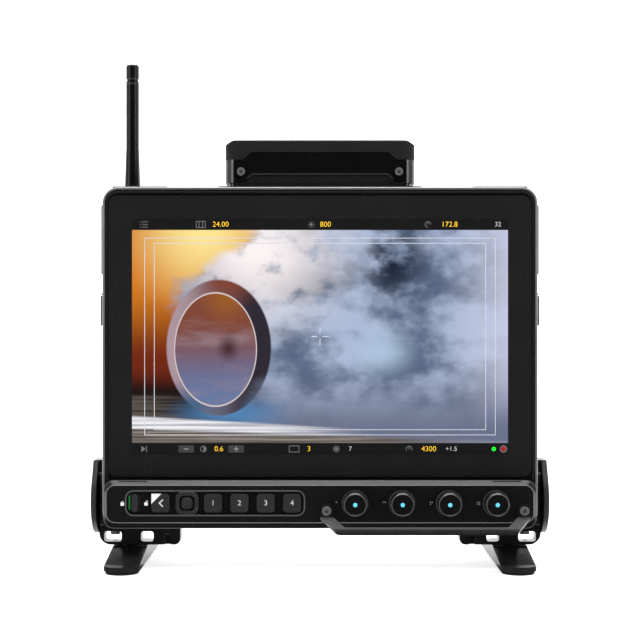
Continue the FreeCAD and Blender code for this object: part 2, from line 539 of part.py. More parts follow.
def shell_bosses(body):
    """Inner posts for the board, the screws, the wall mount and the tripod threads."""
    posts = draw(body, "front", SHELL_INSIDE)
    for x, z in standoffs():
        circle(posts, x, z, "standoff_radius")
    pad(body, posts, f"board_front - board_thickness - {SHELL_INSIDE}")
    mounts = draw(body, "front", SHELL_INSIDE)
    for x, z in wall_mounts():
        circle(mounts, x, z, "wall_mount_boss_radius")
    pad(body, mounts, "wall_mount_boss_length")
    columns = draw(body, "front", SHELL_INSIDE)
    for x, z in corner_places(SHELL_SCREW_X, SCREW_LOW, SCREW_HIGH):
        circle(columns, x, z, "shell_boss_radius")
    pad(body, columns, f"{FRAME_BACK} - {SHELL_INSIDE}")
    depth = "(tripod_hole_depth + tripod_boss_wall)"
    for side in ("", "-"):
        upper = draw(body, "top", f"{TOP} + top_pad_height - {depth}")
        circle(upper, side + TRIPOD_TOP, f"-{PAD_DEPTH}", "tripod_boss_radius")
        pad(body, upper, f"{depth} - top_pad_height - shell_wall / 2")
        lateral = draw(body, "side", f"{side}({BODY_WIDTH} / 2 + mount_pad_height - ({depth}))")
        circle(lateral, f"-{PAD_DEPTH}", TRIPOD_SIDE, "tripod_boss_radius")
        pad(body, lateral, f"{depth} - mount_pad_height - shell_wall / 2", reverse=side == "-")
        lower = draw(body, "top", f"{BASE} + shell_wall / 2")
        circle(lower, f"{side}{LEG_X}", f"-{LEG_AXIS}", "tripod_boss_radius")
        pad(body, lower, "bolt_reach + tripod_boss_wall")


def shell_holes(body):
    """Threads for mounting, screw holes, air vents and the holes for the sockets and the power button."""
    for side in ("", "-"):
        upper = draw(body, "top", f"{TOP} + top_pad_height")
        circle(upper, side + TRIPOD_TOP, f"-{PAD_DEPTH}", "tripod_hole_radius")
        pocket(body, upper, "tripod_hole_depth")
        lateral = draw(body, "side", f"{side}({BODY_WIDTH} / 2 + mount_pad_height)")
        circle(lateral, f"-{PAD_DEPTH}", TRIPOD_SIDE, "tripod_hole_radius")
        pocket(body, lateral, "tripod_hole_depth", reverse=side == "-")
        lower = draw(body, "top", BASE)
        circle(lower, f"{side}{LEG_X}", f"-{LEG_AXIS}", "bolt_radius + bolt_play")
        pocket(body, lower, "bolt_reach + bolt_play", reverse=True)
        small = draw(body, "top", BASE)
        circle(small, f"{side}{STAND_SCREW_X}", f"-{LEG_AXIS}", "screw_radius + screw_play")
        pocket(body, small, "shell_wall", reverse=True)
    threads = draw(body, "front", REAR_FACE)
    for x, z in wall_mounts():
        circle(threads, x, z, "wall_mount_hole_radius")
    pocket(body, threads, "wall_mount_hole_depth", reverse=True)
    screws = draw(body, "front", SHELL_BACK)
    for x, z in corner_places(SHELL_SCREW_X, SCREW_LOW, SCREW_HIGH):
        circle(screws, x, z, "screw_radius + screw_play")
    pocket(body, screws, "shell_screw_length + screw_play", reverse=True)
    hole = draw(body, "front", SHELL_BACK)
    circle(hole, "power_x", SOCKET_ROW, "power_radius + power_gap")
    pocket(body, hole, "back_wall", reverse=True)
    slots = draw(body, "front", SHELL_BACK)
    lowest = f"({FAN_Z} - (vent_count - 1) / 2 * vent_pitch)"
    for side in ("", "-"):
        rounded(slots, side + FAN_X, lowest, "vent_width", "vent_height", "(vent_height / 2.2)")
    vents = pocket(body, slots, "back_wall", reverse=True)
    doc.recompute()
    rows = body.newObject("PartDesign::LinearPattern", "vent_rows")
    rows.Originals = [vents]
    rows.Direction = (slots, ["V_Axis"])
    bind(rows, "Length", "(vent_count - 1) * vent_pitch")
    bind(rows, "Occurrences", "vent_count")
    body.Tip = rows


# Front frame: the rim round the glass, with a ledge behind it and a window for the controls.
def make_front_frame():
    body = new_body("front_frame")
    plan = draw(body, "front", FRAME_BACK)
    rounded(plan, "0", MIDDLE, BODY_WIDTH, BODY_HEIGHT, "body_corner")
    pad(body, plan, "frame_depth")
    soften(body, "Fillet", "rim_round", at_depth("front_plane"))
    seat = draw(body, "front", "front_plane")
    wide = f"({GLASS_WIDTH} + 2 * glass_gap)"
    tall = f"({GLASS_HEIGHT} + 2 * glass_gap)"
    rounded(seat, "0", GLASS_MIDDLE, wide, tall, "(glass_corner + glass_gap)")
    pocket(body, seat, "glass_recess + glass_thickness")
    window = draw(body, "front", "front_plane")
    rounded(window, "0", GLASS_MIDDLE, f"({GLASS_WIDTH} - 2 * glass_ledge)",
            f"({GLASS_HEIGHT} - 2 * glass_ledge)", "panel_corner")
    pocket(body, window, "frame_depth")
    room = draw(body, "front", "front_plane")
    rounded(room, "0", ROW, BAR_ROOM_WIDTH, "bar_room_height", "bar_room_corner")
    pocket(body, room, "frame_depth")
    groove = draw(body, "front", "front_plane")
    for inset in ("rim_width", "(rim_width + groove_width)"):
        rounded(groove, "0", MIDDLE, f"({BODY_WIDTH} - 2 * {inset})", f"({BODY_HEIGHT} - 2 * {inset})",
                f"(body_corner - {inset})")
    pocket(body, groove, "groove_depth")
    return body


def make_sheet(label, front, width, height, corner, thickness, edge=None):
    """A flat upright sheet behind the glass opening."""
    body = new_body(label)
    plan = draw(body, "front", front)
    rounded(plan, "0", GLASS_MIDDLE, width, height, corner)
    pad(body, plan, thickness, reverse=True)
    if edge:
        soften(body, "Chamfer", edge, at_depth(front))
    return body


def make_main_board():
    body = new_body("main_board")
    plan = draw(body, "front", "board_front")
    rounded(plan, "0", BOARD_MIDDLE, BOARD_WIDTH, BOARD_HEIGHT, "panel_corner")
    pad(body, plan, "board_thickness", reverse=True)
    return body


SINK_FRONT = "(board_front - board_thickness)"
SINK_BACK = f"({SHELL_INSIDE} + sink_gap)"


def make_heat_sink():
    """A base on the back of the board with a row of upright fins."""
    body = new_body("heat_sink")
    plan = draw(body, "front", SINK_FRONT)
    rounded(plan, "sink_x", BOARD_MIDDLE, "sink_width", SINK_HEIGHT, "panel_corner")
    pad(body, plan, "sink_base", reverse=True)
    fins = draw(body, "front", f"{SINK_FRONT} - sink_base")
    for index in range(int(SIZES["fin_count"])):
        middle = f"sink_x + ({index} - (fin_count - 1) / 2) * fin_pitch"
        block(fins, f"{middle} - fin_thickness / 2", f"{middle} + fin_thickness / 2",
              f"{BOARD_MIDDLE} - {SINK_HEIGHT} / 2", f"{BOARD_MIDDLE} + {SINK_HEIGHT} / 2")
    pad(body, fins, f"{SINK_FRONT} - sink_base - {SINK_BACK}", reverse=True)
    return body


FAN_FRONT = f"({SHELL_INSIDE} + fan_depth)"


def make_fan_frame():
    """A square frame on the vents, with three spokes and a fixed pin that carries the rotor."""
    body = new_body("fan_frame")
    plan = draw(body, "front", SHELL_INSIDE)
    rounded(plan, FAN_X, FAN_Z, "fan_size", "fan_size", "fan_corner")
    pad(body, plan, "fan_depth")
    bore = draw(body, "front", FAN_FRONT)
    circle(bore, FAN_X, FAN_Z, "fan_bore")
    pocket(body, bore, "fan_depth")
    spider = draw(body, "front", FAN_FRONT)
    block(spider, f"{FAN_X} - fan_size / 2", f"{FAN_X} + fan_size / 2", f"{FAN_Z} - fan_spoke / 2",
          f"{FAN_Z} + fan_spoke / 2")
    pad(body, spider, "fan_web", reverse=True)
    hub = draw(body, "front", FAN_FRONT)
    circle(hub, FAN_X, FAN_Z, "fan_hub")
    pad(body, hub, "fan_web", reverse=True)
    axle = draw(body, "front", FAN_FRONT)
    circle(axle, FAN_X, FAN_Z, "fan_pin_radius")
    pad(body, axle, "fan_depth - fan_axial_gap", reverse=True)
    return body


def make_fan_rotor():
    """A hub that turns on the fixed pin, with flat blades."""
    body = new_body("fan_rotor", x=FAN_X, z=FAN_Z)
    front = f"({FAN_FRONT} - fan_web - fan_axial_gap)"
    length = "fan_depth - fan_web - 2 * fan_axial_gap"
    plan = draw(body, "front", front)
    circle(plan, "0", "0", "fan_hub")
    circle(plan, "0", "0", "fan_pin_radius + fan_pin_play")
    pad(body, plan, length, reverse=True)
    blade = draw(body, "front", front)
    half = "fan_hub_wall / 2"
    block(blade, "fan_hub - fan_hub_wall", "fan_blade", f"0 - {half}", half)
    blade_pad = pad(body, blade, "fan_blade_width", reverse=True)
    doc.recompute()
    ring = body.newObject("PartDesign::PolarPattern", "fan_blades")
    ring.Originals = [blade_pad]
    ring.Axis = (blade, ["N_Axis"])
    ring.Angle = 360
    bind(ring, "Occurrences", "fan_blade_count")
    body.Tip = ring
    return body


KEY_HOLE_WIDTH = "(key_width + 2 * key_gap)"
KEY_HOLE_HEIGHT = "(key_height + 2 * key_gap)"
KEY_PLACES = {
    "back_button": f"(0 - {KEY_LAST} - 5 * {KEY_PITCH})",
    "function_button_1": f"(0 - {KEY_LAST} - 3 * {KEY_PITCH})",
    "function_button_2": f"(0 - {KEY_LAST} - 2 * {KEY_PITCH})",
    "function_button_3": f"(0 - {KEY_LAST} - {KEY_PITCH})",
    "function_button_4": f"(0 - {KEY_LAST})",
}
TRAY_MIDDLE = f"(0 - {TRAY_START} / 2 - {TRAY_END} / 2)"
TRAY_WIDTH = f"({TRAY_START} - {TRAY_END})"
KNOBS = "abcd"


def knob_x(index):
    return f"({KNOB_START} + {index} * {KNOB_PITCH})"


def control_holes(sketch):
    """Openings for the keys, the joystick neck and the lock slot."""
    for x in KEY_PLACES.values():
        rounded(sketch, x, ROW, KEY_HOLE_WIDTH, KEY_HOLE_HEIGHT, "(key_corner + key_gap)")
    room = "(neck_width + 2 * key_gap)"
    rounded(sketch, f"(0 - {STICK_X})", ROW, room, room, "(neck_corner + key_gap)")
    upright_slot(sketch, f"(0 - {LOCK_X})", ROW, "lock_slot_width", "lock_slot_height")


# Control bar: a hollow block under the screen with bevelled edges round its face.
def make_control_bar():
    body = new_body("control_bar")
    root = draw(body, "front", "front_plane")
    rounded(root, "0", f"({BASE} + {BAR_HEIGHT} / 2)", BAR_WIDTH, BAR_HEIGHT, "bar_corner")
    pad(body, root, "bar_depth - bar_bevel")
    step = draw(body, "front", f"{FACE} - bar_bevel")
    rounded(step, "0", f"({BASE} + {BAR_HEIGHT} / 2)", BAR_WIDTH, BAR_HEIGHT, "bar_corner")
    face = draw(body, "front", FACE)
    rounded(face, "0", f"({BASE} + bar_face_rise + {BAR_FACE_HEIGHT} / 2)", BAR_FACE_WIDTH, BAR_FACE_HEIGHT,
            "bar_face_corner")
    loft = body.newObject("PartDesign::AdditiveLoft", "control_bar_loft")
    loft.Profile = step
    loft.Sections = [face]
    loft.Ruled = True
    soften(body, "Fillet", "bar_round", at_depth(FACE))
    room = draw(body, "front", "front_plane")
    rounded(room, "0", ROW, BAR_ROOM_WIDTH, "bar_room_height", "bar_room_corner")
    pocket(body, room, "bar_depth - bar_wall", reverse=True)
    recess = draw(body, "front", FACE)
    rounded(recess, TRAY_MIDDLE, ROW, TRAY_WIDTH, "tray_height", "tray_corner")
    pocket(body, recess, "tray_sink")
    holes = draw(body, "front", FACE)
    control_holes(holes)
    for index in range(len(KNOBS)):
        circle(holes, knob_x(index), ROW, "encoder_bush_radius + bush_play")
    for side in ("-", "+"):
        circle(holes, f"{GUARD_X} {side} {GUARD_HALF}", GUARD_SCREW, "screw_radius + screw_play")
    pocket(body, holes, "bar_wall")
    return body


def make_button_tray():
    """The shallow metal pan in which the keys sit."""
    body = new_body("button_tray")
    plan = draw(body, "front", TRAY_SEAT)
    rounded(plan, TRAY_MIDDLE, ROW, f"({TRAY_WIDTH} - 2 * tray_play)", "(tray_height - 2 * tray_play)",
            "(tray_corner - tray_play)")
    pad(body, plan, "tray_sink")
    inset = "(tray_play + tray_rim)"
    inner = draw(body, "front", FACE)
    rounded(inner, TRAY_MIDDLE, ROW, f"({TRAY_WIDTH} - 2 * {inset})", f"(tray_height - 2 * {inset})",
            f"(tray_corner - {inset})")
    pocket(body, inner, "tray_sink - tray_floor")
    holes = draw(body, "front", TRAY_FLOOR)
    control_holes(holes)
    pocket(body, holes, "tray_floor")
    return body


def make_control_board():
    body = new_body("control_board")
    plan = draw(body, "front", BOARD_BACK)
    rounded(plan, "0", ROW, f"({BAR_ROOM_WIDTH} - 2 * board_gap)", "(bar_room_height - 2 * board_gap)",
            "(bar_room_corner - board_gap)")
    pad(body, plan, "board_thickness")
    return body


SWITCH_TOP = f"({BOARD_FACE} + switch_height + switch_button_height)"


def make_key(label, x):
    """A key cap held in by a flange behind the bar, with a stem that presses its switch."""
    body = new_body(label, x=x, z=ROW)
    front = f"({FACE} - key_sink)"
    cap = draw(body, "front", front)
    rounded(cap, "0", "0", "key_width", "key_height", "key_corner")
    pad(body, cap, f"{front} - {BAR_INSIDE}", reverse=True)
    soften(body, "Fillet", "key_edge", at_depth(front))
    flange = draw(body, "front", BAR_INSIDE)
    rounded(flange, "0", "0", "(key_width + 2 * key_flange)", "(key_height + 2 * key_flange)", "key_corner")
    pad(body, flange, "key_flange_thickness", reverse=True)
    stem = draw(body, "front", f"{SWITCH_TOP} + key_travel + switch_slack")
    circle(stem, "0", "0", "key_stem_radius")
    pad(body, stem, f"{BAR_INSIDE} - ({SWITCH_TOP} + key_travel + switch_slack)")
    return body


LOCK_PLATE_FRONT = f"({BAR_INSIDE} - lock_play)"
LOCK_STEM_END = f"({BOARD_FACE} + switch_height + lock_play)"


def make_switch_bodies():
    """The push switches under the keys and the slide switch under the lock, all on the control board."""
    members = []
    for name, x in KEY_PLACES.items():
        body = new_body(name + "_switch", x=x, z=ROW)
        case = draw(body, "front", BOARD_FACE)
        rounded(case, "0", "0", "switch_width", "switch_width", "key_edge")
        pad(body, case, "switch_height")
        plunger = draw(body, "front", BOARD_FACE)
        circle(plunger, "0", "0", "switch_button_radius")
        pad(body, plunger, "switch_height + switch_button_height")
        members.append(body)
    body = new_body("lock_switch", x=f"0 - {LOCK_X}", z=ROW)
    case = draw(body, "front", BOARD_FACE)
    rounded(case, "0", "0", "lock_switch_width", "switch_width", "key_edge")
    pad(body, case, "switch_height")
    members.append(body)
    return group("switch_bodies", members)


def make_lock_slider():
    """A ridge that shows in the lock slot, on a plate behind the bar."""
    body = new_body("lock_slider", x=f"0 - {LOCK_X}", z=ROW)
    front = f"({FACE} + lock_grip_proud)"
    grip = draw(body, "front", front)
    upright_slot(grip, "0", "0", "lock_grip_width", "lock_grip_height")
    pad(body, grip, f"{front} - {LOCK_PLATE_FRONT}", reverse=True)
    soften(body, "Fillet", "lock_grip_edge", at_depth(front))
    plate = draw(body, "front", LOCK_PLATE_FRONT)
    rounded(plate, "0", "0", "lock_plate_width", "lock_plate_height", "lock_plate_corner")
    pad(body, plate, "lock_plate_thickness", reverse=True)
    stem = draw(body, "front", LOCK_STEM_END)
    rounded(stem, "0", "0", "lock_stem", "lock_stem", "lock_play")
    pad(body, stem, f"{LOCK_PLATE_FRONT} - lock_plate_thickness - {LOCK_STEM_END}")
    return body


# Joystick: a fixed ring with a well, a gimbal that rocks about X, a stem that rocks about Z
# and a cap that presses.
def make_joystick_ring():
    body = new_body("joystick_ring", x=f"0 - {STICK_X}", z=ROW)
    front = f"({FACE} + ring_proud)"
    ring = draw(body, "front", front)
    rounded(ring, "0", "0", "ring_width", "ring_width", "ring_corner")
    pad(body, ring, f"{front} - {TRAY_FLOOR}", reverse=True)
    soften(body, "Fillet", "ring_edge", at_depth(front))
    neck = draw(body, "front", BOARD_FACE)
    rounded(neck, "0", "0", "neck_width", "neck_width", "neck_corner")
    pad(body, neck, f"{TRAY_FLOOR} - {BOARD_FACE}")
    well = draw(body, "front", front)
    rounded(well, "0", "0", "well_width", "well_width", "well_corner")
    pocket(body, well, f"{front} - {BOARD_FACE} - well_floor")
    bearing = draw(body, "side", "0 - neck_width / 2")
    circle(bearing, f"0 - {PIVOT}", "0", "trunnion_radius + trunnion_play")
    pocket(body, bearing, "neck_width", reverse=True)
    return body


def make_joystick_gimbal():
    body = new_body("joystick_gimbal", x=f"0 - {STICK_X}", z=ROW)
    plan = draw(body, "front", f"{PIVOT} - gimbal_thickness / 2")
    rounded(plan, "0", "0", "gimbal_width", "gimbal_width", "(ring_edge * 2)")
    rounded(plan, "0", "0", "gimbal_room", "gimbal_room", "ring_edge")
    pad(body, plan, "gimbal_thickness")
    reach = "(well_width / 2 + trunnion_bite)"
    for side in ("", "-"):
        axle = draw(body, "side", f"{side}(gimbal_width / 2 - trunnion_bite)")
        circle(axle, f"0 - {PIVOT}", "0", "trunnion_radius")
        pad(body, axle, f"{reach} - gimbal_width / 2 + trunnion_bite", reverse=side == "-")
    bearing = draw(body, "top", "0 - gimbal_width / 2")
    circle(bearing, "0", f"0 - {PIVOT}", "trunnion_radius + trunnion_play")
    pocket(body, bearing, "gimbal_width", reverse=True)
    return body


def make_joystick_stem():
    body = new_body("joystick_stem", x=f"0 - {STICK_X}", z=ROW)
    hub = draw(body, "front", f"{PIVOT} - hub_drop")
    circle(hub, "0", "0", "hub_radius")
    pad(body, hub, "2 * hub_drop")
    rod = draw(body, "front", PIVOT)
    circle(rod, "0", "0", "stem_radius")
    pad(body, rod, "stem_reach")
    axle = draw(body, "top", "0 - (gimbal_room / 2 + trunnion_bite)")
    circle(axle, "0", f"0 - {PIVOT}", "trunnion_radius")
    pad(body, axle, "gimbal_room + 2 * trunnion_bite")
    bore = draw(body, "front", f"{PIVOT} + stem_reach")
    circle(bore, "0", "0", "stem_bore")
    pocket(body, bore, "stem_reach - stem_bore_start")
    return body


def make_joystick_cap():
    body = new_body("joystick_cap", x=f"0 - {STICK_X}", z=ROW)
    under = f"({PIVOT} + stem_reach + cap_gap)"
    cap = draw(body, "front", under)
    rounded(cap, "0", "0", "cap_width", "cap_width", "cap_corner")
    pad(body, cap, "cap_thickness")
    soften(body, "Fillet", "cap_edge", at_depth(f"{under} + cap_thickness"))
    stalk = draw(body, "front", under)
    circle(stalk, "0", "0", "cap_pin_radius")
    pad(body, stalk, "cap_pin_length", reverse=True)
    return body


ROTOR_BACK = f"({BOARD_FACE} + encoder_room_depth - rotor_gap - rotor_flange_thickness)"
STEM_END = f"({ROTOR_BACK} - knob_stem_tail)"


# Knobs: each turns a hollow rotor in its encoder, slides in that rotor when pressed,
# and lets a light through.
def make_knob(letter, index):
    body = new_body("knob_" + letter, x=knob_x(index), z=ROW)
    dish = f"0 - {KNOB_FRONT} + knob_dish"
    rim = f"0 - {KNOB_FRONT}"
    base = f"0 - {KNOB_BASE}"
    ceiling = f"0 - {KNOB_BASE} - knob_room_depth"
    skirt = f"0 - {KNOB_BASE} - knob_skirt_height"
    hole = "light_radius + light_play"
    turned(body, [
        (f"0 - {STEM_END}", hole), (f"0 - {STEM_END}", "knob_stem_radius"), (ceiling, "knob_stem_radius"),
        (ceiling, "knob_room_radius"), (base, "knob_room_radius"), (base, "knob_skirt_radius"),
        (skirt, "knob_skirt_radius"), (skirt, "knob_radius"), (f"{rim} + knob_edge", "knob_radius"),
        (rim, "knob_radius - knob_edge"), (rim, "knob_radius - knob_rim"),
        (dish, "knob_radius - knob_rim - knob_dish"), (dish, hole),
    ])
    flat = draw(body, "front", STEM_END)
    block(flat, "0 - knob_stem_radius", "knob_stem_radius", "knob_flat", "knob_stem_radius + knob_play")
    pocket(body, flat, f"{KNOB_BASE} - {STEM_END}", reverse=True)
    return body


def make_encoder_rotor(letter, index):
    body = new_body("encoder_rotor_" + letter, x=knob_x(index), z=ROW)
    back = f"0 - {ROTOR_BACK}"
    step = f"0 - {ROTOR_BACK} - rotor_flange_thickness"
    front = f"0 - {KNOB_BASE} - rotor_end"
    bore = "knob_stem_radius + knob_play"
    turned(body, [(back, bore), (back, "rotor_flange_radius"), (step, "rotor_flange_radius"),
                  (step, "rotor_radius"), (front, "rotor_radius"), (front, bore)])
    key = draw(body, "front", ROTOR_BACK)
    block(key, "0 - knob_stem_radius / 2", "knob_stem_radius / 2", "knob_flat + knob_play",
          "knob_stem_radius + 2 * knob_play")
    pad(body, key, f"{FACE} - {ROTOR_BACK}")
    return body


def make_encoder_bodies():
    members = []
    for index, letter in enumerate(KNOBS):
        body = new_body("encoder_" + letter, x=knob_x(index), z=ROW)
        case = draw(body, "front", BOARD_FACE)
        rounded(case, "0", "0", "encoder_width", "encoder_width", "key_edge")
        pad(body, case, "encoder_height")
        bush = draw(body, "front", BOARD_FACE)
        circle(bush, "0", "0", "encoder_bush_radius")
        pad(body, bush, f"{FACE} + encoder_bush_proud - {BOARD_FACE}")
        room = draw(body, "front", BOARD_FACE)
        circle(room, "0", "0", "encoder_room_radius")
        pocket(body, room, "encoder_room_depth", reverse=True)
        bore = draw(body, "front", BOARD_FACE)
        circle(bore, "0", "0", "encoder_bore_radius")
        pocket(body, bore, f"{FACE} + encoder_bush_proud - {BOARD_FACE}", reverse=True)
        members.append(body)
    return group("encoder_bodies", members)


def make_knob_lights():
    """Clear rods from the board to the faces of the knobs."""
    members = []
    for index, letter in enumerate(KNOBS):
        body = new_body("knob_light_" + letter, x=knob_x(index), z=ROW)
        plan = draw(body, "front", BOARD_FACE)
        circle(plan, "0", "0", "light_radius")
        pad(body, plan, f"{KNOB_FRONT} - light_sink - {BOARD_FACE}")
        members.append(body)
    return group("knob_lights", members)


# Knob guard: one bent plate, with two lugs on the bar and a sloping loop in front of the knobs.
def make_knob_guard():
    body = new_body("knob_guard", x=GUARD_X)
    half = "guard_lug_width / 2"
    lugs = draw(body, "front", FACE)
    lug_height = f"({GUARD_TOP} - {GUARD_BEND} + guard_lug_width / 2)"
    for side in ("-", ""):
        upright_slot(lugs, f"{side}{GUARD_HALF}", f"({GUARD_TOP} - {lug_height} / 2)", "guard_lug_width",
                     lug_height)
    pad(body, lugs, "guard_thickness")
    loop = draw(body, "top")
    loop.AttachmentOffset = Placement(Vector(0, 0, 0), Rotation(Vector(1, 0, 0), size("guard_angle")))
    bind(loop, "AttachmentOffset.Base.y", f"0 - {FACE}")
    bind(loop, "AttachmentOffset.Base.z", GUARD_BEND)
    bind(loop, "AttachmentOffset.Rotation.Angle", "guard_angle")
    corner_in = "0 - guard_reach + guard_bar"
    outline(loop, [
        (f"0 - {GUARD_HALF} - {half}", "0"), (f"0 - {GUARD_FRONT}", "0 - guard_reach"),
        (GUARD_FRONT, "0 - guard_reach"), (f"{GUARD_HALF} + {half}", "0"),
        (f"{GUARD_HALF} - {half}", "0"), (GUARD_INNER, corner_in),
        (f"0 - {GUARD_INNER}", corner_in), (f"0 - {GUARD_HALF} + {half}", "0"),
    ])
    pad(body, loop, "guard_thickness", reverse=True)
    trim = draw(body, "front", FACE)
    block(trim, f"0 - {BODY_WIDTH}", BODY_WIDTH, f"0 - {BODY_HEIGHT}", BODY_HEIGHT)
    pocket(body, trim, "bar_depth")
    holes = draw(body, "front", f"{FACE} + guard_thickness")
    for side in ("-", ""):
        circle(holes, f"{side}{GUARD_HALF}", GUARD_SCREW, "screw_radius + screw_play")
    pocket(body, holes, "guard_thickness")
    slope = math.radians(size("guard_angle"))
    normal = Vector(0, -math.sin(slope), math.cos(slope))

    def bend_corner(place):
        spot = size(place)
        return lambda edge: (edge.BoundBox.XLength < 1e-4 and abs(abs(edge.BoundBox.Center.x) - spot) < 1e-3
                             and abs(abs(edge.tangentAt(edge.FirstParameter).dot(normal)) - 1) < 1e-4)

    soften(body, "Fillet", "guard_outer_round", bend_corner(GUARD_FRONT))
    soften(body, "Fillet", "guard_inner_round", bend_corner(GUARD_INNER))
    return body


def make_guard_screws():
    members = []
    for name, side in (("left", "-"), ("right", "+")):
        place = (f"{GUARD_X} {side} {GUARD_HALF}", f"0 - {FACE} - guard_thickness", GUARD_SCREW)
        members.append(cap_screw("guard_screw_" + name, place, POINT_BACK, "guard_screw_head",
                                 "guard_head_height", "guard_screw_length"))
    return group("guard_screws", members)


# Receiver: a box on a foot plate, with its own cover, front panel, screws and radio board.
def make_receiver_foot():
    body = new_body("receiver_foot")
    plan = draw(body, "top", TOP)
    rounded(plan, "0", "0", "foot_width", "foot_depth", "foot_corner")
    pad(body, plan, "foot_thickness")
    return body


RECEIVER_HALF = "(receiver_width / 2)"
CASE_BASE = f"({FOOT_TOP} + neck_height)"


def receiver_corners(body):
    depth = "receiver_depth / 2"
    places = [(f"{a}{RECEIVER_HALF}", f"{b}({depth})") for a in ("", "-") for b in ("", "-")]
    soften(body, "Fillet", "receiver_corner", upright_at(places))


def make_receiver_case():
    body = new_body("receiver_case")
    shape = draw(body, "front", "receiver_depth / 2")
    outline(shape, [
        (f"-{RECEIVER_HALF}", CASE_BASE), (RECEIVER_HALF, CASE_BASE), (RECEIVER_HALF, CASE_END),
        ("shoulder_out", CASE_END), ("shoulder_in", SHOULDER),
        ("0 - shoulder_in", SHOULDER), ("0 - shoulder_out", CASE_END),
        (f"-{RECEIVER_HALF}", CASE_END),
    ])
    pad(body, shape, "receiver_depth", reverse=True)
    receiver_corners(body)
    neck = draw(body, "top", FOOT_TOP)
    rounded(neck, "0", "0", "(receiver_width - 2 * neck_inset)", "(foot_depth - 2 * neck_inset)",
            "foot_corner")
    pad(body, neck, "neck_height")
    hollow = draw(body, "top", SHOULDER)
    rounded(hollow, "0", "0", "(receiver_width - 2 * receiver_wall)",
            "(receiver_depth - 2 * receiver_wall - 2 * recess_depth)", "foot_corner")
    pocket(body, hollow, f"{SHOULDER} - {CASE_BASE} - receiver_floor")
    seat = draw(body, "front", "receiver_depth / 2")
    panel_outline(seat, "0")
    pocket(body, seat, "panel_sink")
    recess = draw(body, "front", "receiver_depth / 2")
    outline(recess, [("0 - panel_foot_out", CASE_BASE), ("panel_foot_out", CASE_BASE),
                     ("shoulder_in", PANEL_LOW), ("0 - shoulder_in", PANEL_LOW)])
    pocket(body, recess, "recess_depth")
    holes = draw(body, "front", "receiver_depth / 2 - panel_sink")
    for side in ("-", ""):
        circle(holes, f"{side}receiver_screw_place", RECEIVER_SCREW, "screw_radius + screw_play")
    pocket(body, holes, "recess_depth - panel_sink + receiver_wall")
    return body


def panel_outline(sketch, gap):
    """The front panel's shape: its top follows the cover's step, its bottom rises over the recess."""
    low = f"{CASE_BASE} + {gap}"
    outline(sketch, [
        (f"0 - panel_half + {gap}", low), (f"0 - panel_foot_out - {gap}", low),
        (f"0 - shoulder_in - {gap}", f"{PANEL_LOW} + {gap}"),
        (f"shoulder_in + {gap}", f"{PANEL_LOW} + {gap}"),
        (f"panel_foot_out + {gap}", low), (f"panel_half - {gap}", low),
        (f"panel_half - {gap}", f"{CASE_END} - {gap}"), (f"shoulder_out - {gap}", f"{CASE_END} - {gap}"),
        (f"shoulder_in - {gap}", f"{SHOULDER} - {gap}"),
        (f"0 - shoulder_in + {gap}", f"{SHOULDER} - {gap}"),
        (f"0 - shoulder_out + {gap}", f"{CASE_END} - {gap}"),
        (f"0 - panel_half + {gap}", f"{CASE_END} - {gap}"),
    ])


def make_receiver_front_panel():
    body = new_body("receiver_front_panel")
    plan = draw(body, "front", "receiver_depth / 2 - panel_sink")
    panel_outline(plan, "panel_gap")
    pad(body, plan, "panel_sheet")
    holes = draw(body, "front", "receiver_depth / 2")
    for side in ("-", ""):
        circle(holes, f"{side}receiver_screw_place", RECEIVER_SCREW, "screw_radius + screw_play")
    pocket(body, holes, "panel_sink")
    return body


def make_receiver_cover():
    body = new_body("receiver_cover")
    shape = draw(body, "front", "receiver_depth / 2")
    slope_x = f"({RECEIVER_HALF} - cover_slope_length)"
    slope_z = f"{COVER_TOP} - cover_slope_height"
    outline(shape, [
        (f"-{RECEIVER_HALF}", CASE_END), ("0 - shoulder_out", CASE_END),
        ("0 - shoulder_in", SHOULDER), ("shoulder_in", SHOULDER),
        ("shoulder_out", CASE_END), (RECEIVER_HALF, CASE_END), (RECEIVER_HALF, slope_z),
        (slope_x, COVER_TOP), (f"-{slope_x}", COVER_TOP), (f"-{RECEIVER_HALF}", slope_z),
    ])
    pad(body, shape, "receiver_depth", reverse=True)
    receiver_corners(body)
    top = size(COVER_TOP)
    soften(body, "Fillet", "cover_round", lambda edge: edge.BoundBox.ZMin > top - 1e-3)
    hollow = draw(body, "top", CASE_END)
    rounded(hollow, "0", "0", "(receiver_width - 2 * receiver_wall - 2 * cover_slope_length)",
            "(receiver_depth - 4 * receiver_wall)", "foot_corner")
    pocket(body, hollow, f"{COVER_TOP} - receiver_wall - {CASE_END}", reverse=True)
    return body


def make_receiver_screws():
    members = []
    for name, side in (("left", "-"), ("right", "")):
        place = (f"{side}receiver_screw_place", "0 - receiver_depth / 2 + panel_sink - panel_sheet",
                 RECEIVER_SCREW)
        members.append(cap_screw("receiver_screw_" + name, place, POINT_BACK, "receiver_screw_head",
                                 "guard_head_height", "guard_screw_length"))
    return group("receiver_screws", members)


def make_receiver_board():
    body = new_body("receiver_board")
    plan = draw(body, "top", f"{CASE_BASE} + receiver_floor")
    rounded(plan, "0", "0", "radio_board_width",
            "(receiver_depth - 2 * receiver_wall - 2 * recess_depth - 2 * panel_gap)", "panel_corner")
    pad(body, plan, "board_thickness")
    return body


# Antenna: a jack on the back, an elbow that swivels on it and a whip that folds in the elbow's fork.
def make_antenna_jack():
    body = new_body("antenna_jack", x=f"0 - {ANTENNA_X}", z=ANTENNA_Z)
    back = f"(0 - {SHELL_BACK})"
    turned(body, [(back, "0"), (back, "jack_nut_radius"), (f"{back} + jack_nut_height", "jack_nut_radius"),
                  (f"{back} + jack_nut_height", "jack_radius"), (f"{back} + jack_length", "jack_radius"),
                  (f"{back} + jack_length", "0")])
    return body


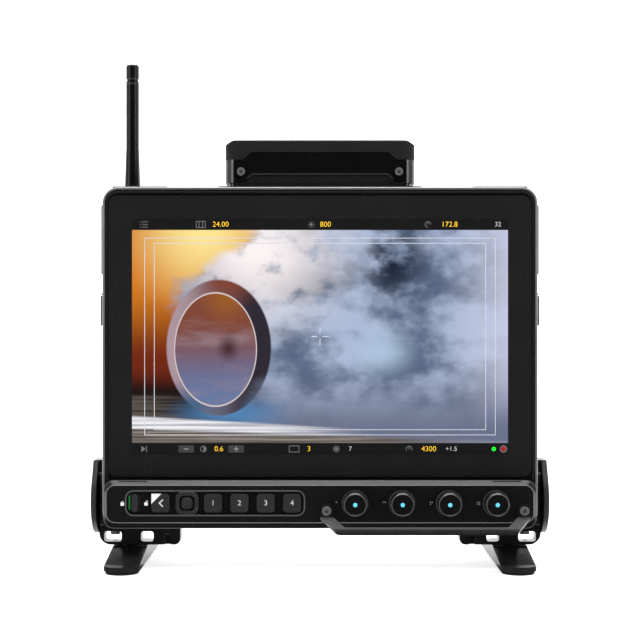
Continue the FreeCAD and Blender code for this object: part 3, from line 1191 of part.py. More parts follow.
COLLAR_START = f"(0 - {SHELL_BACK} + jack_nut_height + collar_gap)"


def make_antenna_elbow():
    body = new_body("antenna_elbow", x=f"0 - {ANTENNA_X}", z=ANTENNA_Z)
    end = f"({COLLAR_START} + collar_length)"
    bore = "jack_radius + jack_play"
    bottom = f"(0 - {SHELL_BACK} + jack_length + collar_gap)"
    turned(body, [(COLLAR_START, bore), (COLLAR_START, "collar_radius"), (end, "collar_radius"), (end, "0"),
                  (bottom, "0"), (bottom, bore)])
    for side in ("", "-"):
        ear = draw(body, "side", f"{side}(tang_half + tang_play)")
        circle(ear, ANTENNA_Y, "0", "knuckle_radius")
        pad(body, ear, "knuckle_half - tang_half - tang_play", reverse=side == "-")
        arm = draw(body, "side", f"{side}(tang_half + tang_play)")
        block(arm, f"{end} - collar_gap", ANTENNA_Y, "0 - knuckle_radius + tang_play",
              "knuckle_radius - tang_play")
        pad(body, arm, "knuckle_half - tang_half - 2 * tang_play", reverse=side == "-")
    axle = draw(body, "side", "0 - knuckle_half")
    circle(axle, ANTENNA_Y, "0", "hinge_pin_radius")
    pad(body, axle, "2 * knuckle_half")
    return body


def make_antenna_whip():
    body = new_body("antenna_whip", x=f"0 - {ANTENNA_X}", y=ANTENNA_Y, z=ANTENNA_Z)
    groove_end = "whip_groove + whip_groove_width"
    inner = "whip_radius - whip_groove_depth"
    turned(body, [
        ("0", "whip_start"), ("whip_foot_radius", "whip_start"), ("whip_foot_radius", "whip_foot_end"),
        ("whip_radius", "whip_straight"), ("whip_radius", "whip_groove"), (inner, "whip_groove"),
        (inner, groove_end), ("whip_radius", groove_end), ("whip_radius", "whip_length"),
        ("0", "whip_length"),
    ], "V_Axis")
    tip = size("whip_length")
    soften(body, "Fillet", "whip_tip_round", lambda edge: edge.BoundBox.ZMin > tip - 1e-3)
    tang = draw(body, "side", "0 - tang_half")
    upright_slot(tang, "0", "whip_start / 2", "(2 * knuckle_radius - 2 * tang_play)",
                 "(whip_start + 2 * knuckle_radius - 2 * tang_play)")
    pad(body, tang, "2 * tang_half")
    eye = draw(body, "side", "0 - tang_half")
    circle(eye, "0", "0", "hinge_pin_radius + hinge_pin_play")
    pocket(body, eye, "2 * tang_half", reverse=True)
    return body


# Brackets and feet, modelled on the left and mirrored to the right.
def make_left_bracket():
    """An angle under the lower corner: a windowed bar below, and a strip with a front lip up the side."""
    body = new_body("left_bracket")
    out = f"-{STRIP_OUT}"
    inside = f"-{STRIP_IN}"
    shape = draw(body, "front")
    outline(shape, [(out, BRACKET_BASE), (f"0 - {BRACKET_END}", BRACKET_BASE), (f"0 - {BRACKET_END}", BASE),
                    (inside, BASE), (inside, STRIP_TOP), (out, STRIP_TOP)])
    pad(body, shape, "bracket_depth")
    soften(body, "Fillet", "bracket_corner", along_depth_at([(out, BRACKET_BASE)]))
    soften(body, "Fillet", "strip_round", along_depth_at([(out, STRIP_TOP)]))
    soften(body, "Fillet", "bracket_end_round", along_depth_at([(f"0 - {BRACKET_END}", BRACKET_BASE)]))
    windows = draw(body, "front", "bracket_depth")
    middle = f"({BRACKET_BASE} + (window_low + window_high) / 2)"
    for start, end in ((OUTER_WINDOW_IN, OUTER_WINDOW_OUT),
                       (INNER_WINDOW_IN, INNER_WINDOW_OUT)):
        rounded(windows, f"(0 - ({start} + {end}) / 2)", middle, f"({end} - {start})",
                "(window_high - window_low)", "window_round")
    pocket(body, windows, "bracket_depth")
    notch = draw(body, "front", "bracket_depth")
    upright_slot(notch, f"(0 - {NOTCH_X})", BRACKET_BASE, "notch_width", "(2 * notch_height)")
    pocket(body, notch, "notch_depth")
    soften(body, "Chamfer", "bracket_edge", at_depth("bracket_depth"))
    lip = draw(body, "front")
    block(lip, f"{inside} - lip_thickness", inside, BASE, STRIP_TOP)
    pad(body, lip, "lip_depth")
    soften(body, "Fillet", "lip_round", at_depth("lip_depth"))
    holes = draw(body, "top", BRACKET_BASE)
    circle(holes, f"0 - {LEG_X}", f"0 - {LEG_AXIS}", "bolt_radius + bolt_play")
    circle(holes, f"0 - {STAND_SCREW_X}", f"0 - {LEG_AXIS}", "screw_radius + screw_play")
    pocket(body, holes, "bracket_height", reverse=True)
    side = draw(body, "side", out)
    for z in PLATE_SCREWS:
        circle(side, f"0 - {LEG_AXIS}", z, "screw_radius + screw_play")
    pocket(body, side, "bracket_strip", reverse=True)
    return body


def make_left_side_plate():
    """A rounded plate outside the bracket, with a short flange over the bumper."""
    body = new_body("left_side_plate", y=f"0 - {LEG_AXIS}")
    inner = f"(0 - {STRIP_OUT})"
    plan = draw(body, "side", inner)
    middle, radius = size(PLATE_MIDDLE), size("side_plate_radius")
    top, half = size(PLATE_TOP), size("side_plate_neck / 2")
    rise = math.radians(20)
    tangent = Vector(radius * math.cos(rise), middle + radius * math.sin(rise), 0)
    around = Part.Circle(Vector(0, middle, 0), Vector(0, 0, 1), radius)
    plan.addGeometry([
        Part.ArcOfCircle(around, math.pi - rise, 2 * math.pi + rise),
        Part.LineSegment(tangent, Vector(half, top, 0)),
        Part.LineSegment(Vector(half, top, 0), Vector(-half, top, 0)),
        Part.LineSegment(Vector(-half, top, 0), Vector(-tangent.x, tangent.y, 0)),
    ])
    for first, second in ((0, 1), (3, 0)):
        plan.addConstraint(Sketcher.Constraint("Tangent", first, 2, second, 1))
    for first, second in ((1, 2), (2, 3)):
        plan.addConstraint(Sketcher.Constraint("Coincident", first, 2, second, 1))
    pin(plan, 0, 3, "0", PLATE_MIDDLE)
    rule(plan, "Radius", 0, "side_plate_radius")
    pin(plan, 1, 2, "side_plate_neck / 2", PLATE_TOP)
    pin(plan, 2, 2, "0 - side_plate_neck / 2", PLATE_TOP)
    pad(body, plan, "side_plate_thickness", reverse=True)
    flange = draw(body, "side", inner)
    block(flange, "0 - side_plate_neck / 2", "side_plate_neck / 2", f"{PLATE_TOP} - flange_thickness",
          PLATE_TOP)
    pad(body, flange, "flange_reach")
    out = -size(f"{STRIP_OUT} + side_plate_thickness")
    soften(body, "Fillet", "flange_thickness / 2", lambda edge: abs(edge.BoundBox.XMin - out) < 1e-3
           and edge.BoundBox.XLength < 1e-3)
    holes = draw(body, "side", f"0 - {STRIP_OUT} - side_plate_thickness")
    for z in PLATE_SCREWS:
        circle(holes, "0", z, "screw_radius + screw_play")
    pocket(body, holes, "side_plate_thickness", reverse=True)
    heads = draw(body, "side", f"0 - {STRIP_OUT} - side_plate_thickness")
    for z in PLATE_SCREWS:
        circle(heads, "0", z, "screw_head_radius + screw_play")
    pocket(body, heads, "screw_head_height", reverse=True)
    return body


def make_side_bumpers():
    """Rubber blocks between the side plates and the shell."""
    body = new_body("left_bumper", y=f"0 - {LEG_AXIS}")
    plan = draw(body, "side", f"0 - {STRIP_OUT}")
    low = f"{STRIP_TOP} + bumper_gap"
    block(plan, "0 - side_plate_neck / 2", "side_plate_neck / 2", low, f"{PLATE_TOP} - flange_thickness")
    pad(body, plan, "bracket_strip")
    return group("side_bumpers", [body, mirrored("right_bumper", body)])


def make_stand_screws():
    members = []
    for name, side in (("left", "-"), ("right", "")):
        place = (f"{side}{STAND_SCREW_X}", f"0 - {LEG_AXIS}", f"{BRACKET_BASE} + window_high")
        members.append(cap_screw("stand_screw_" + name, place, POINT_UP, "screw_head_radius",
                                 "screw_head_height", "bracket_height - window_high + shell_wall"))
    for level, height in zip(("low", "high"), PLATE_SCREWS):
        seat = f"0 - {STRIP_OUT} - side_plate_thickness + screw_head_height"
        place = (seat, f"0 - {LEG_AXIS}", height)
        screw = cap_screw("plate_screw_left_" + level, place, POINT_RIGHT, "screw_head_radius",
                          "screw_head_height", "bracket_strip + side_plate_thickness - screw_head_height")
        members += [screw, mirrored("plate_screw_right_" + level, screw)]
    return group("stand_screws", members)


LEG_BASE = "pad_thickness"
LEG_TOP = "(pad_thickness + leg_height)"


def make_left_leg():
    """A long skid with round ends that ramps up to its pivot under the bracket."""
    body = new_body("left_leg")
    plan = draw(body, "top", LEG_BASE)
    upright_slot(plan, f"(0 - {LEG_X})", "0", "leg_width", "leg_length")
    pad(body, plan, "leg_height")
    ramps = draw(body, "side", f"0 - {LEG_X} + leg_width")
    rim = "pad_thickness + leg_rim"
    above = f"{LEG_TOP} + leg_gap"
    end = "(leg_length / 2)"
    front = "(0 - bracket_depth - ramp_top)"
    outline(ramps, [(f"-{end} - ramp_top", rim), (f"-{end} + leg_width / 2", rim), (front, LEG_TOP),
                    (front, above), (f"-{end} - ramp_top", above)])
    outline(ramps, [(f"{end} + ramp_top", rim), (f"{end} + ramp_top", above), ("ramp_top", above),
                    ("ramp_top", LEG_TOP), (f"{end} - leg_width / 2", rim)])
    pocket(body, ramps, "2 * leg_width")
    low = size(rim)
    soften(body, "Fillet", "leg_round", lambda edge: edge.BoundBox.ZMin > low - 1e-3
           and edge.BoundBox.YLength > size("ramp_top") and edge.BoundBox.XLength < size("leg_width"))
    hole = draw(body, "top", LEG_BASE)
    circle(hole, f"0 - {LEG_X}", f"0 - {LEG_AXIS}", "bolt_radius + bolt_play")
    pocket(body, hole, "leg_height", reverse=True)
    head = draw(body, "top", LEG_BASE)
    circle(head, f"0 - {LEG_X}", f"0 - {LEG_AXIS}", "bolt_head_radius + bolt_head_room")
    pocket(body, head, "bolt_head_height + bolt_head_room", reverse=True)
    return body


def make_left_foot_pad():
    body = new_body("left_foot_pad")
    plan = draw(body, "top")
    upright_slot(plan, f"(0 - {LEG_X})", "0", "(leg_width - 2 * pad_inset)", "(leg_length - 2 * pad_inset)")
    pad(body, plan, "pad_thickness")
    return body


def make_leg_bolts():
    """Shoulder bolts up through the feet and brackets into the shell."""
    body = new_body("left_leg_bolt", x=f"0 - {LEG_X}", y=f"0 - {LEG_AXIS}")
    seat = "(pad_thickness + bolt_head_height + bolt_head_room - bolt_play)"
    head = draw(body, "top", seat)
    circle(head, "0", "0", "bolt_head_radius")
    pad(body, head, "bolt_head_height", reverse=True)
    shank = draw(body, "top", seat)
    circle(shank, "0", "0", "bolt_radius")
    pad(body, shank, f"{BASE} + bolt_reach - {seat}")
    return group("leg_bolts", [body, mirrored("right_leg_bolt", body)])


def make_shell_screws():
    members = []
    for index, (x, z) in enumerate(corner_places(SHELL_SCREW_X, SCREW_LOW, SCREW_HIGH)):
        place = (x, f"0 - {SHELL_BACK}", z)
        members.append(cap_screw("shell_screw_%d" % (index + 1), place, POINT_FRONT, "screw_head_radius",
                                 "screw_head_height", "shell_screw_length"))
    return group("shell_screws", members)


def make_rear_sockets():
    """Two video sockets with a core inside a sleeve, and one round power inlet."""
    back = f"(0 - {SHELL_BACK})"
    members = []
    for index in range(2):
        place = f"socket_first + {index} * socket_pitch"
        body = new_body("video_socket_%d" % (index + 1), x=place, z=SOCKET_ROW)
        end = f"{back} + socket_length"
        floor = f"{back} + socket_nut_height"
        core = f"{end} - socket_nut_height"
        turned(body, [(back, "0"), (back, "socket_nut_radius"), (floor, "socket_nut_radius"),
                      (floor, "socket_radius"), (end, "socket_radius"), (end, "socket_bore"),
                      (floor, "socket_bore"), (floor, "socket_core"), (core, "socket_core"), (core, "0")])
        members.append(body)
    body = new_body("power_inlet", x="inlet_place", z=SOCKET_ROW)
    end = f"{back} + inlet_length"
    nut = f"{back} + socket_nut_height"
    floor = f"{end} - inlet_recess"
    turned(body, [(back, "0"), (back, "socket_nut_radius"), (nut, "socket_nut_radius"), (nut, "inlet_radius"),
                  (end, "inlet_radius"), (end, "inlet_bore"), (floor, "inlet_bore"), (floor, "0")])
    members.append(body)
    return group("rear_sockets", members)


def make_power_button():
    """A round button through the back wall, with a flange inside."""
    body = new_body("power_button", x="power_x", z=SOCKET_ROW)
    back = f"(0 - {SHELL_BACK})"
    inside = f"(0 - {SHELL_INSIDE})"
    end = f"{back} + power_proud"
    under = f"{inside} - power_flange_thickness"
    flange = "power_radius + power_flange"
    turned(body, [(under, "0"), (under, flange), (inside, flange), (inside, "power_radius"),
                  (f"{end} - power_edge", "power_radius"), (end, "power_radius - power_edge"), (end, "0")])
    return body


left_bracket = make_left_bracket()
left_side_plate = make_left_side_plate()
left_leg = make_left_leg()
left_foot_pad = make_left_foot_pad()

pieces = [
    make_rear_shell(), make_front_frame(),
    make_sheet("touch_glass", GLASS_FRONT, GLASS_WIDTH, GLASS_HEIGHT, "glass_corner", "glass_thickness",
               "glass_edge"),
    make_sheet("lcd_panel", GLASS_BACK, "panel_width", "panel_height", "panel_corner", "panel_thickness"),
    make_sheet("backlight_tray", f"({GLASS_BACK} - panel_thickness)", "panel_width", "panel_height",
               "panel_corner", "tray_thickness"),
    make_main_board(), make_heat_sink(), make_fan_frame(), make_fan_rotor(),
    make_control_bar(), make_button_tray(), make_control_board(), make_switch_bodies(), make_lock_slider(),
    make_joystick_ring(), make_joystick_gimbal(), make_joystick_stem(), make_joystick_cap(),
    make_encoder_bodies(), make_knob_lights(), make_knob_guard(), make_guard_screws(),
    make_receiver_foot(), make_receiver_case(), make_receiver_cover(), make_receiver_front_panel(),
    make_receiver_screws(), make_receiver_board(),
    make_antenna_jack(), make_antenna_elbow(), make_antenna_whip(),
    left_bracket, mirrored("right_bracket", left_bracket),
    left_side_plate, mirrored("right_side_plate", left_side_plate),
    make_side_bumpers(), make_stand_screws(),
    left_leg, mirrored("right_leg", left_leg), left_foot_pad, mirrored("right_foot_pad", left_foot_pad),
    make_leg_bolts(), make_shell_screws(), make_rear_sockets(), make_power_button(),
]
pieces += [make_key(label, x) for label, x in KEY_PLACES.items()]
pieces += [make_knob(letter, index) for index, letter in enumerate(KNOBS)]
pieces += [make_encoder_rotor(letter, index) for index, letter in enumerate(KNOBS)]
doc.recompute()

for item in doc.Objects:
    if "Invalid" in item.State or "Error" in item.State:
        raise ValueError("failed: " + item.Label)
for piece in pieces:
    if piece.Shape.isNull() or not piece.Shape.isValid():
        raise ValueError("bad shape: " + piece.Label)

os.makedirs("parts", exist_ok=True)
for piece in pieces:
    piece.Shape.exportStep("parts/%s.step" % piece.Label)
    box = piece.Shape.BoundBox
    print("%-22s solids %d  volume %9.1f  x %.1f %.1f  y %.1f %.1f  z %.1f %.1f" % (
        piece.Label, len(piece.Shape.Solids), piece.Shape.Volume, box.XMin, box.XMax, box.YMin, box.YMax,
        box.ZMin, box.ZMax))
print(len(pieces), "pieces")
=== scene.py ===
# %% [markdown]
# # A camera field monitor
#
# The shape of this monitor was built in CAD. Here it gets its looks: finishes for every CAD piece, a lit
# screen, the small printed marks on the controls, and fittings that are too fine for the CAD model.
# Blender works in metres. X runs to the viewer's right, the screen looks towards -Y, and Z is up.

# %%
import json
import math

import bmesh
import bpy
from mathutils import Matrix, Vector


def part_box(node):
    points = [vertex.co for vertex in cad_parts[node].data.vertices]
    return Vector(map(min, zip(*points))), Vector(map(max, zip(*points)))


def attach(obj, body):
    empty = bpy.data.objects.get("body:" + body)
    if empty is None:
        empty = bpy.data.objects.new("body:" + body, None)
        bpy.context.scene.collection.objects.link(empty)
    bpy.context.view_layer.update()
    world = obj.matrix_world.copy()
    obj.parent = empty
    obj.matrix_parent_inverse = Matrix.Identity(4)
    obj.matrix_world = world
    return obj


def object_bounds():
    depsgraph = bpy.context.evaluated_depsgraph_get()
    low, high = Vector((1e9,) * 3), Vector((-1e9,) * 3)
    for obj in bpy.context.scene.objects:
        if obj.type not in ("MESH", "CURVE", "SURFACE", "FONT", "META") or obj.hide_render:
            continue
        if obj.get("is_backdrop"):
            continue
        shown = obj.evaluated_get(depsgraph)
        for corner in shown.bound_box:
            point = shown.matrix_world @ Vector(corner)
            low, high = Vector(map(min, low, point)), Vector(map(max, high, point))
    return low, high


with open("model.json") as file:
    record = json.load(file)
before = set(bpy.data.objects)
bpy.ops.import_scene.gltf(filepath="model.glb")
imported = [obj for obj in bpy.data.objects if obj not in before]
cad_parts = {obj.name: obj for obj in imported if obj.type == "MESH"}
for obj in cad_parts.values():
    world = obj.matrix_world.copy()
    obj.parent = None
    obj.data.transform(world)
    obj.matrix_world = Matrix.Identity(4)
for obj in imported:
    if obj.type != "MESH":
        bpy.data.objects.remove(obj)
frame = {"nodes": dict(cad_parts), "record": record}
bounds_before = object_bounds()
nodes = frame["nodes"]

# %% [markdown]
# ## Places from the CAD model
#
# Small marks are easier to think of in millimetres. A spot holds a CAD piece's box in millimetres: its
# middle, its half sizes and the depth of its front. Every mark below takes its place from such a spot.

# %%
MM = 0.001


class Spot:
    """The box of a CAD piece in millimetres."""

    def __init__(self, node):
        self.low, self.high = [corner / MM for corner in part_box(node)]
        self.x, self.y, self.z = (self.low + self.high) / 2
        self.half_x, self.half_y, self.half_z = (self.high - self.low) / 2
        self.front, self.back, self.top = self.low.y, self.high.y, self.high.z


glass = Spot("touch_glass")
lcd = Spot("lcd_panel")
rim = Spot("front_frame")
shell = Spot("rear_shell")
bar = Spot("control_bar")
tray = Spot("button_tray")
keys = {number: Spot("function_button_%d" % number) for number in (1, 2, 3, 4)}
back_key = Spot("back_button")
lock = Spot("lock_slider")
ring = Spot("joystick_ring")
cap = Spot("joystick_cap")
knobs = {letter: Spot("knob_" + letter) for letter in "abcd"}
guard = Spot("knob_guard")
bracket = Spot("right_bracket")
whip = Spot("antenna_whip")
print("glass front at", round(glass.front, 2), "and control face at", round(bar.front, 2))

# %% [markdown]
# ## Building blocks for materials
#
# A material here is a small graph of nodes. These helpers add one node each and join it up. A number goes
# straight onto the socket, and another node's output is linked to it.

# %%
SOCKETS = {"colour": "Base Color", "rough": "Roughness", "metal": "Metallic", "normal": "Normal",
           "specular": "Specular IOR Level", "light": "Emission Color", "glow": "Emission Strength"}
BLOTCH, SWING = 45.0, 0.12
GRAIN_DEPTH = 0.05 * MM


def new_material(name):
    material = bpy.data.materials.new(name)
    material.use_nodes = True
    tree = material.node_tree
    return material, tree, tree.nodes["Principled BSDF"]


def put(tree, socket, value):
    if isinstance(value, bpy.types.NodeSocket):
        tree.links.new(value, socket)
    else:
        socket.default_value = value


def dress(shader, **values):
    """Sets inputs of a shader by their short names."""
    for name, value in values.items():
        put(shader.id_data, shader.inputs[SOCKETS[name]], value)


def calc(tree, operation, first, second=0.0, third=0.0):
    node = tree.nodes.new("ShaderNodeMath")
    node.operation = operation
    for socket, value in zip(node.inputs, (first, second, third)):
        put(tree, socket, value)
    return node.outputs[0]


def ramp(tree, low, high, value):
    """A soft step that is 0 below low and 1 above high."""
    node = tree.nodes.new("ShaderNodeMapRange")
    node.interpolation_type = "SMOOTHSTEP"
    put(tree, node.inputs["Value"], value)
    put(tree, node.inputs["From Min"], low)
    put(tree, node.inputs["From Max"], high)
    return node.outputs[0]


def mix(tree, first, second, share):
    """A blend of two colours."""
    node = tree.nodes.new("ShaderNodeMix")
    node.data_type = "RGBA"
    put(tree, node.inputs["Factor"], share)
    sockets = [socket for socket in node.inputs if socket.type == "RGBA"]
    for socket, colour in zip(sockets, (first, second)):
        put(tree, socket, colour if isinstance(colour, bpy.types.NodeSocket) else (*colour, 1.0))
    return next(socket for socket in node.outputs if socket.type == "RGBA")


def places(tree):
    """X, Y and Z of the shaded point on the object, in metres."""
    node = tree.nodes.new("ShaderNodeTexCoord")
    split = tree.nodes.new("ShaderNodeSeparateXYZ")
    tree.links.new(node.outputs["Object"], split.inputs[0])
    return split.outputs[0], split.outputs[1], split.outputs[2]


def cloud(tree, x, y, z=0.0, scale=1.0, detail=3.0, roughness=0.5):
    """Soft random values from 0 to 1 over a place."""
    join = tree.nodes.new("ShaderNodeCombineXYZ")
    for socket, value in zip(join.inputs, (x, y, z)):
        put(tree, socket, value)
    noise = tree.nodes.new("ShaderNodeTexNoise")
    noise.inputs["Scale"].default_value = scale
    noise.inputs["Detail"].default_value = detail
    noise.inputs["Roughness"].default_value = roughness
    tree.links.new(join.outputs[0], noise.inputs["Vector"])
    return noise.outputs[0]


def grain(tree, shader, roughness, size, depth):
    """Fine grain on a surface, its size in millimetres. Returns the slow changes in how rough it is."""
    x, y, z = places(tree)
    blotch = cloud(tree, x, y, z, scale=BLOTCH)
    rough = calc(tree, "MULTIPLY_ADD", blotch, SWING, roughness - SWING / 2)
    bump = tree.nodes.new("ShaderNodeBump")
    bump.inputs["Strength"].default_value = depth
    bump.inputs["Distance"].default_value = GRAIN_DEPTH
    put(tree, bump.inputs["Height"], cloud(tree, x, y, z, scale=1.0 / (size * MM), detail=2.0))
    dress(shader, rough=rough, normal=bump.outputs[0])
    return blotch


print("material helpers ready")

# %% [markdown]
# ## Finishes for the CAD pieces
#
# Most of the monitor is black anodised metal, so small differences matter: how rough it is, how fine its
# grain is and how much light it sends back. Each slot of the record gets one finish with its own grain.

# %%
SHADE = 0.15
BLUE, PALE_BLUE = 1.06, 1.03


def finish(name, colour, roughness, metal=0.0, specular=0.5, size=0.3, depth=0.1, glow=0.0):
    """A finish of one colour, a little darker and lighter in places, with a fine grain."""
    material, tree, shader = new_material(name)
    blotch = grain(tree, shader, roughness, size, depth)
    darker, lighter = [[part * shade for part in colour] for shade in (1.0 - SHADE, 1.0 + SHADE)]
    dress(shader, colour=mix(tree, darker, lighter, blotch), metal=metal, specular=specular)
    if glow:
        dress(shader, light=(*colour, 1.0), glow=glow)
    return material


def grey(level, blue=BLUE):
    """A grey with a little more blue in it."""
    return (level, level, level * blue)


def black(name, level, roughness, specular=0.5, size=0.25, depth=0.2):
    """A black finish with the faintest blue in it."""
    return finish(name, grey(level), roughness, specular=specular, size=size, depth=depth)


FINISHES = {
    "screen_glass": black("screen_glass", 0.013, 0.12, size=2.0, depth=0.0),
    "display": black("display", 0.02, 0.2),
    "board": finish("board", (0.01, 0.07, 0.04), 0.45, size=1.2),
    "inner_metal": finish("inner_metal", (0.55, 0.56, 0.57), 0.42, metal=1.0),
    "inner_plastic": black("inner_plastic", 0.02, 0.55),
    "key_rubber": black("key_rubber", 0.024, 0.58, specular=0.3, size=0.15, depth=0.3),
    "ring_plastic": black("ring_plastic", 0.028, 0.30, depth=0.05),
    "light": finish("light", (0.10, 0.48, 0.74), 0.3, glow=0.9),
    "screw_steel": finish("screw_steel", (0.17, 0.17, 0.175), 0.34, metal=0.3, size=0.4),
    "receiver_paint": finish("receiver_paint", (0.10, 0.10, 0.102), 0.26, metal=0.8, size=0.25),
    "cover_paint": black("cover_paint", 0.012, 0.60, specular=0.25, depth=0.3),
    "receiver_panel": black("receiver_panel", 0.0025, 0.45, specular=0.2),
    "leg_metal": black("leg_metal", 0.014, 0.30),
    "rubber": black("rubber", 0.008, 0.75, specular=0.2, size=0.4, depth=0.3),
    "jack_metal": finish("jack_metal", (0.62, 0.44, 0.16), 0.28, metal=1.0),
    "socket_metal": finish("socket_metal", (0.50, 0.50, 0.51), 0.30, metal=1.0),
    "power_plastic": finish("power_plastic", (0.05, 0.008, 0.008), 0.45),
}
print(len(FINISHES), "plain finishes")

# %% [markdown]
# ## Finishes with painted highlights
#
# Painted highlights make some edges brighter than the faces beside them, standing in for light caught on the
# edges. They are masks worked out from the place on the piece: how far a point lies past a place, inside a
# rounded rectangle or from a line.

# %%
LINE_CORE, LINE_END = 0.4, 0.6


def past(tree, value, start, end):
    """0 before one place in millimetres and 1 past another, with a soft step between them."""
    return ramp(tree, start * MM, end * MM, value)


def short_of(tree, value, start, end):
    """1 before one place in millimetres and 0 past another."""
    return calc(tree, "SUBTRACT", 1.0, past(tree, value, start, end))


def inside_of(tree, x, z, spot, corner):
    """How far a point lies inside a rounded rectangle, in metres."""
    gaps = []
    for value, middle, reach in ((x, spot.x, spot.half_x), (z, spot.z, spot.half_z)):
        offset = calc(tree, "ABSOLUTE", calc(tree, "SUBTRACT", value, middle * MM))
        gaps.append(calc(tree, "SUBTRACT", offset, (reach - corner) * MM))
    outer = [calc(tree, "POWER", calc(tree, "MAXIMUM", gap, 0.0), 2.0) for gap in gaps]
    inner = calc(tree, "MINIMUM", calc(tree, "MAXIMUM", *gaps), 0.0)
    distance = calc(tree, "ADD", calc(tree, "SQRT", calc(tree, "ADD", *outer)), inner)
    return calc(tree, "SUBTRACT", corner * MM, distance)


def line_at(tree, value, middle, width):
    """1 on a thin line about a place in millimetres and 0 away from it."""
    gap = calc(tree, "ABSOLUTE", calc(tree, "SUBTRACT", value, middle * MM))
    return short_of(tree, gap, width * LINE_CORE, width * LINE_END)


print("mask helpers ready")

# %% [markdown]
# The frame round the glass has a painted highlight along its outer rim, the pan of the keys has one along
# its front edge, and the raised pad areas of the case are painted lighter than the case, as painted
# highlight.

# %%
RIM_CORNER, RIM_HIGHLIGHT_WIDTH = 9.2, 1.4
TRIM_START, TRIM_END = 2.1, 3.2
SOFT = 0.1
LIP_START, LIP_END = 0.02, 0.1
PAD_START, PAD_END = 0.05, 0.15


def frame_finish():
    material, tree, shader = new_material("frame_metal")
    x, y, z = places(tree)
    depth = inside_of(tree, x, z, rim, RIM_CORNER)
    edge = short_of(tree, depth, RIM_HIGHLIGHT_WIDTH, RIM_HIGHLIGHT_WIDTH + SOFT)
    trim_start = past(tree, depth, TRIM_START, TRIM_START + SOFT)
    trim = calc(tree, "MULTIPLY", trim_start, short_of(tree, depth, TRIM_END, TRIM_END + SOFT))
    # A slightly lighter trim band, and a painted highlight along the outer rim in light grey, partly
    # metallic.
    colour = mix(tree, (0.003, 0.003, 0.0032), (0.016, 0.016, 0.0165), trim)
    colour = mix(tree, colour, (0.36, 0.36, 0.365), edge)
    dress(shader, colour=colour, metal=calc(tree, "MULTIPLY", edge, 0.7))
    grain(tree, shader, 0.30, 0.25, 0.1)
    return material


def tray_finish():
    material, tree, shader = new_material("tray_metal")
    x, y, z = places(tree)
    lip_highlight = short_of(tree, y, tray.front + LIP_START, tray.front + LIP_END)
    # Painted highlight: the pan's front edge is painted light grey, the rest near black.
    dress(shader, colour=mix(tree, (0.004, 0.004, 0.0042), (0.085, 0.085, 0.088), lip_highlight))
    grain(tree, shader, 0.34, 0.2, 0.1)
    return material


def case_finish():
    material, tree, shader = new_material("case_paint")
    x, y, z = places(tree)
    # Painted highlight: the case over and beside the frame is painted lighter and partly metallic.
    over = past(tree, z, rim.top + PAD_START, rim.top + PAD_END)
    beside = past(tree, calc(tree, "ABSOLUTE", x), rim.half_x + PAD_START, rim.half_x + PAD_END)
    pad_highlight = calc(tree, "MAXIMUM", over, beside)
    colour = mix(tree, (0.012, 0.012, 0.0127), (0.13, 0.13, 0.134), pad_highlight)
    dress(shader, colour=colour, metal=calc(tree, "MULTIPLY", pad_highlight, 0.5))
    grain(tree, shader, 0.42, 0.25, 0.25)
    return material


FINISHES["frame_metal"] = frame_finish()
FINISHES["tray_metal"] = tray_finish()
FINISHES["case_paint"] = case_finish()
print(len(FINISHES), "finishes so far")

# %% [markdown]
# The control bar has painted highlights along both edges of its bevel, the knobs along their rims and the
# guard on its arms. The side plates are painted lighter than their brackets and the antenna has two bands,
# all painted highlights. The table gives each finish its dark and its highlight level, its roughness and its
# lines.

# %%
BEVEL, BEVEL_LINE, FLAT = 2.6, 0.35, 0.04
KNOB_RIM, KNOB_LINE, RIM_SHARE = 6.25, 0.5, 0.6
KNOB_SKIRT, SKIRT_LINE = 7.4, 0.3
ARM_LOW, ARM_HIGH = 2.9, 8.2
ARM_SOFT, ARM_EDGE = 0.7, 0.2
PLATE_SOFT = 0.2
BAND_DROPS, BAND = (9.1, 11.9), 0.7


def lined_finish(name, level, bright, roughness, lines):
    """A black finish with lines of painted highlight. The lines come from the place on the piece."""
    material, tree, shader = new_material(name)
    share = lines(tree, *places(tree))
    dress(shader, colour=mix(tree, grey(level), grey(bright, PALE_BLUE), share))
    grain(tree, shader, roughness, 0.25, 0.15)
    return material


# Painted highlight lines along the inner and outer edge of the bar's bevel.
def bar_lines(tree, x, y, z):
    inner = line_at(tree, y, bar.front + BEVEL_LINE / 2, BEVEL_LINE)
    outer = line_at(tree, y, bar.front + BEVEL, BEVEL_LINE)
    flat = line_at(tree, y, bar.front, FLAT)
    return calc(tree, "MAXIMUM", calc(tree, "SUBTRACT", inner, flat), outer)


# Painted highlight rings on every knob: a fainter one at the front rim and one at the skirt's edge.
def knob_lines(tree, x, y, z):
    pitch = (knobs["b"].x - knobs["a"].x) * MM
    first = knobs["a"].x * MM
    across = calc(tree, "WRAP", calc(tree, "SUBTRACT", x, first), pitch / 2, -pitch / 2)
    up = calc(tree, "SUBTRACT", z, knobs["a"].z * MM)
    square = calc(tree, "ADD", calc(tree, "POWER", across, 2.0), calc(tree, "POWER", up, 2.0))
    radius = calc(tree, "SQRT", square)
    rim_line = calc(tree, "MULTIPLY", line_at(tree, radius, KNOB_RIM, KNOB_LINE), RIM_SHARE)
    return calc(tree, "MAXIMUM", rim_line, line_at(tree, radius, KNOB_SKIRT, SKIRT_LINE))


# Painted highlight on the guard's arms: a band between two heights stands in for their lit upper faces.
def guard_lines(tree, x, y, z):
    low, high = guard.low.z + ARM_LOW, guard.low.z + ARM_HIGH
    raised = past(tree, z, low - ARM_SOFT, low + ARM_SOFT)
    return calc(tree, "MULTIPLY", raised, short_of(tree, z, high - ARM_EDGE, high + ARM_EDGE))


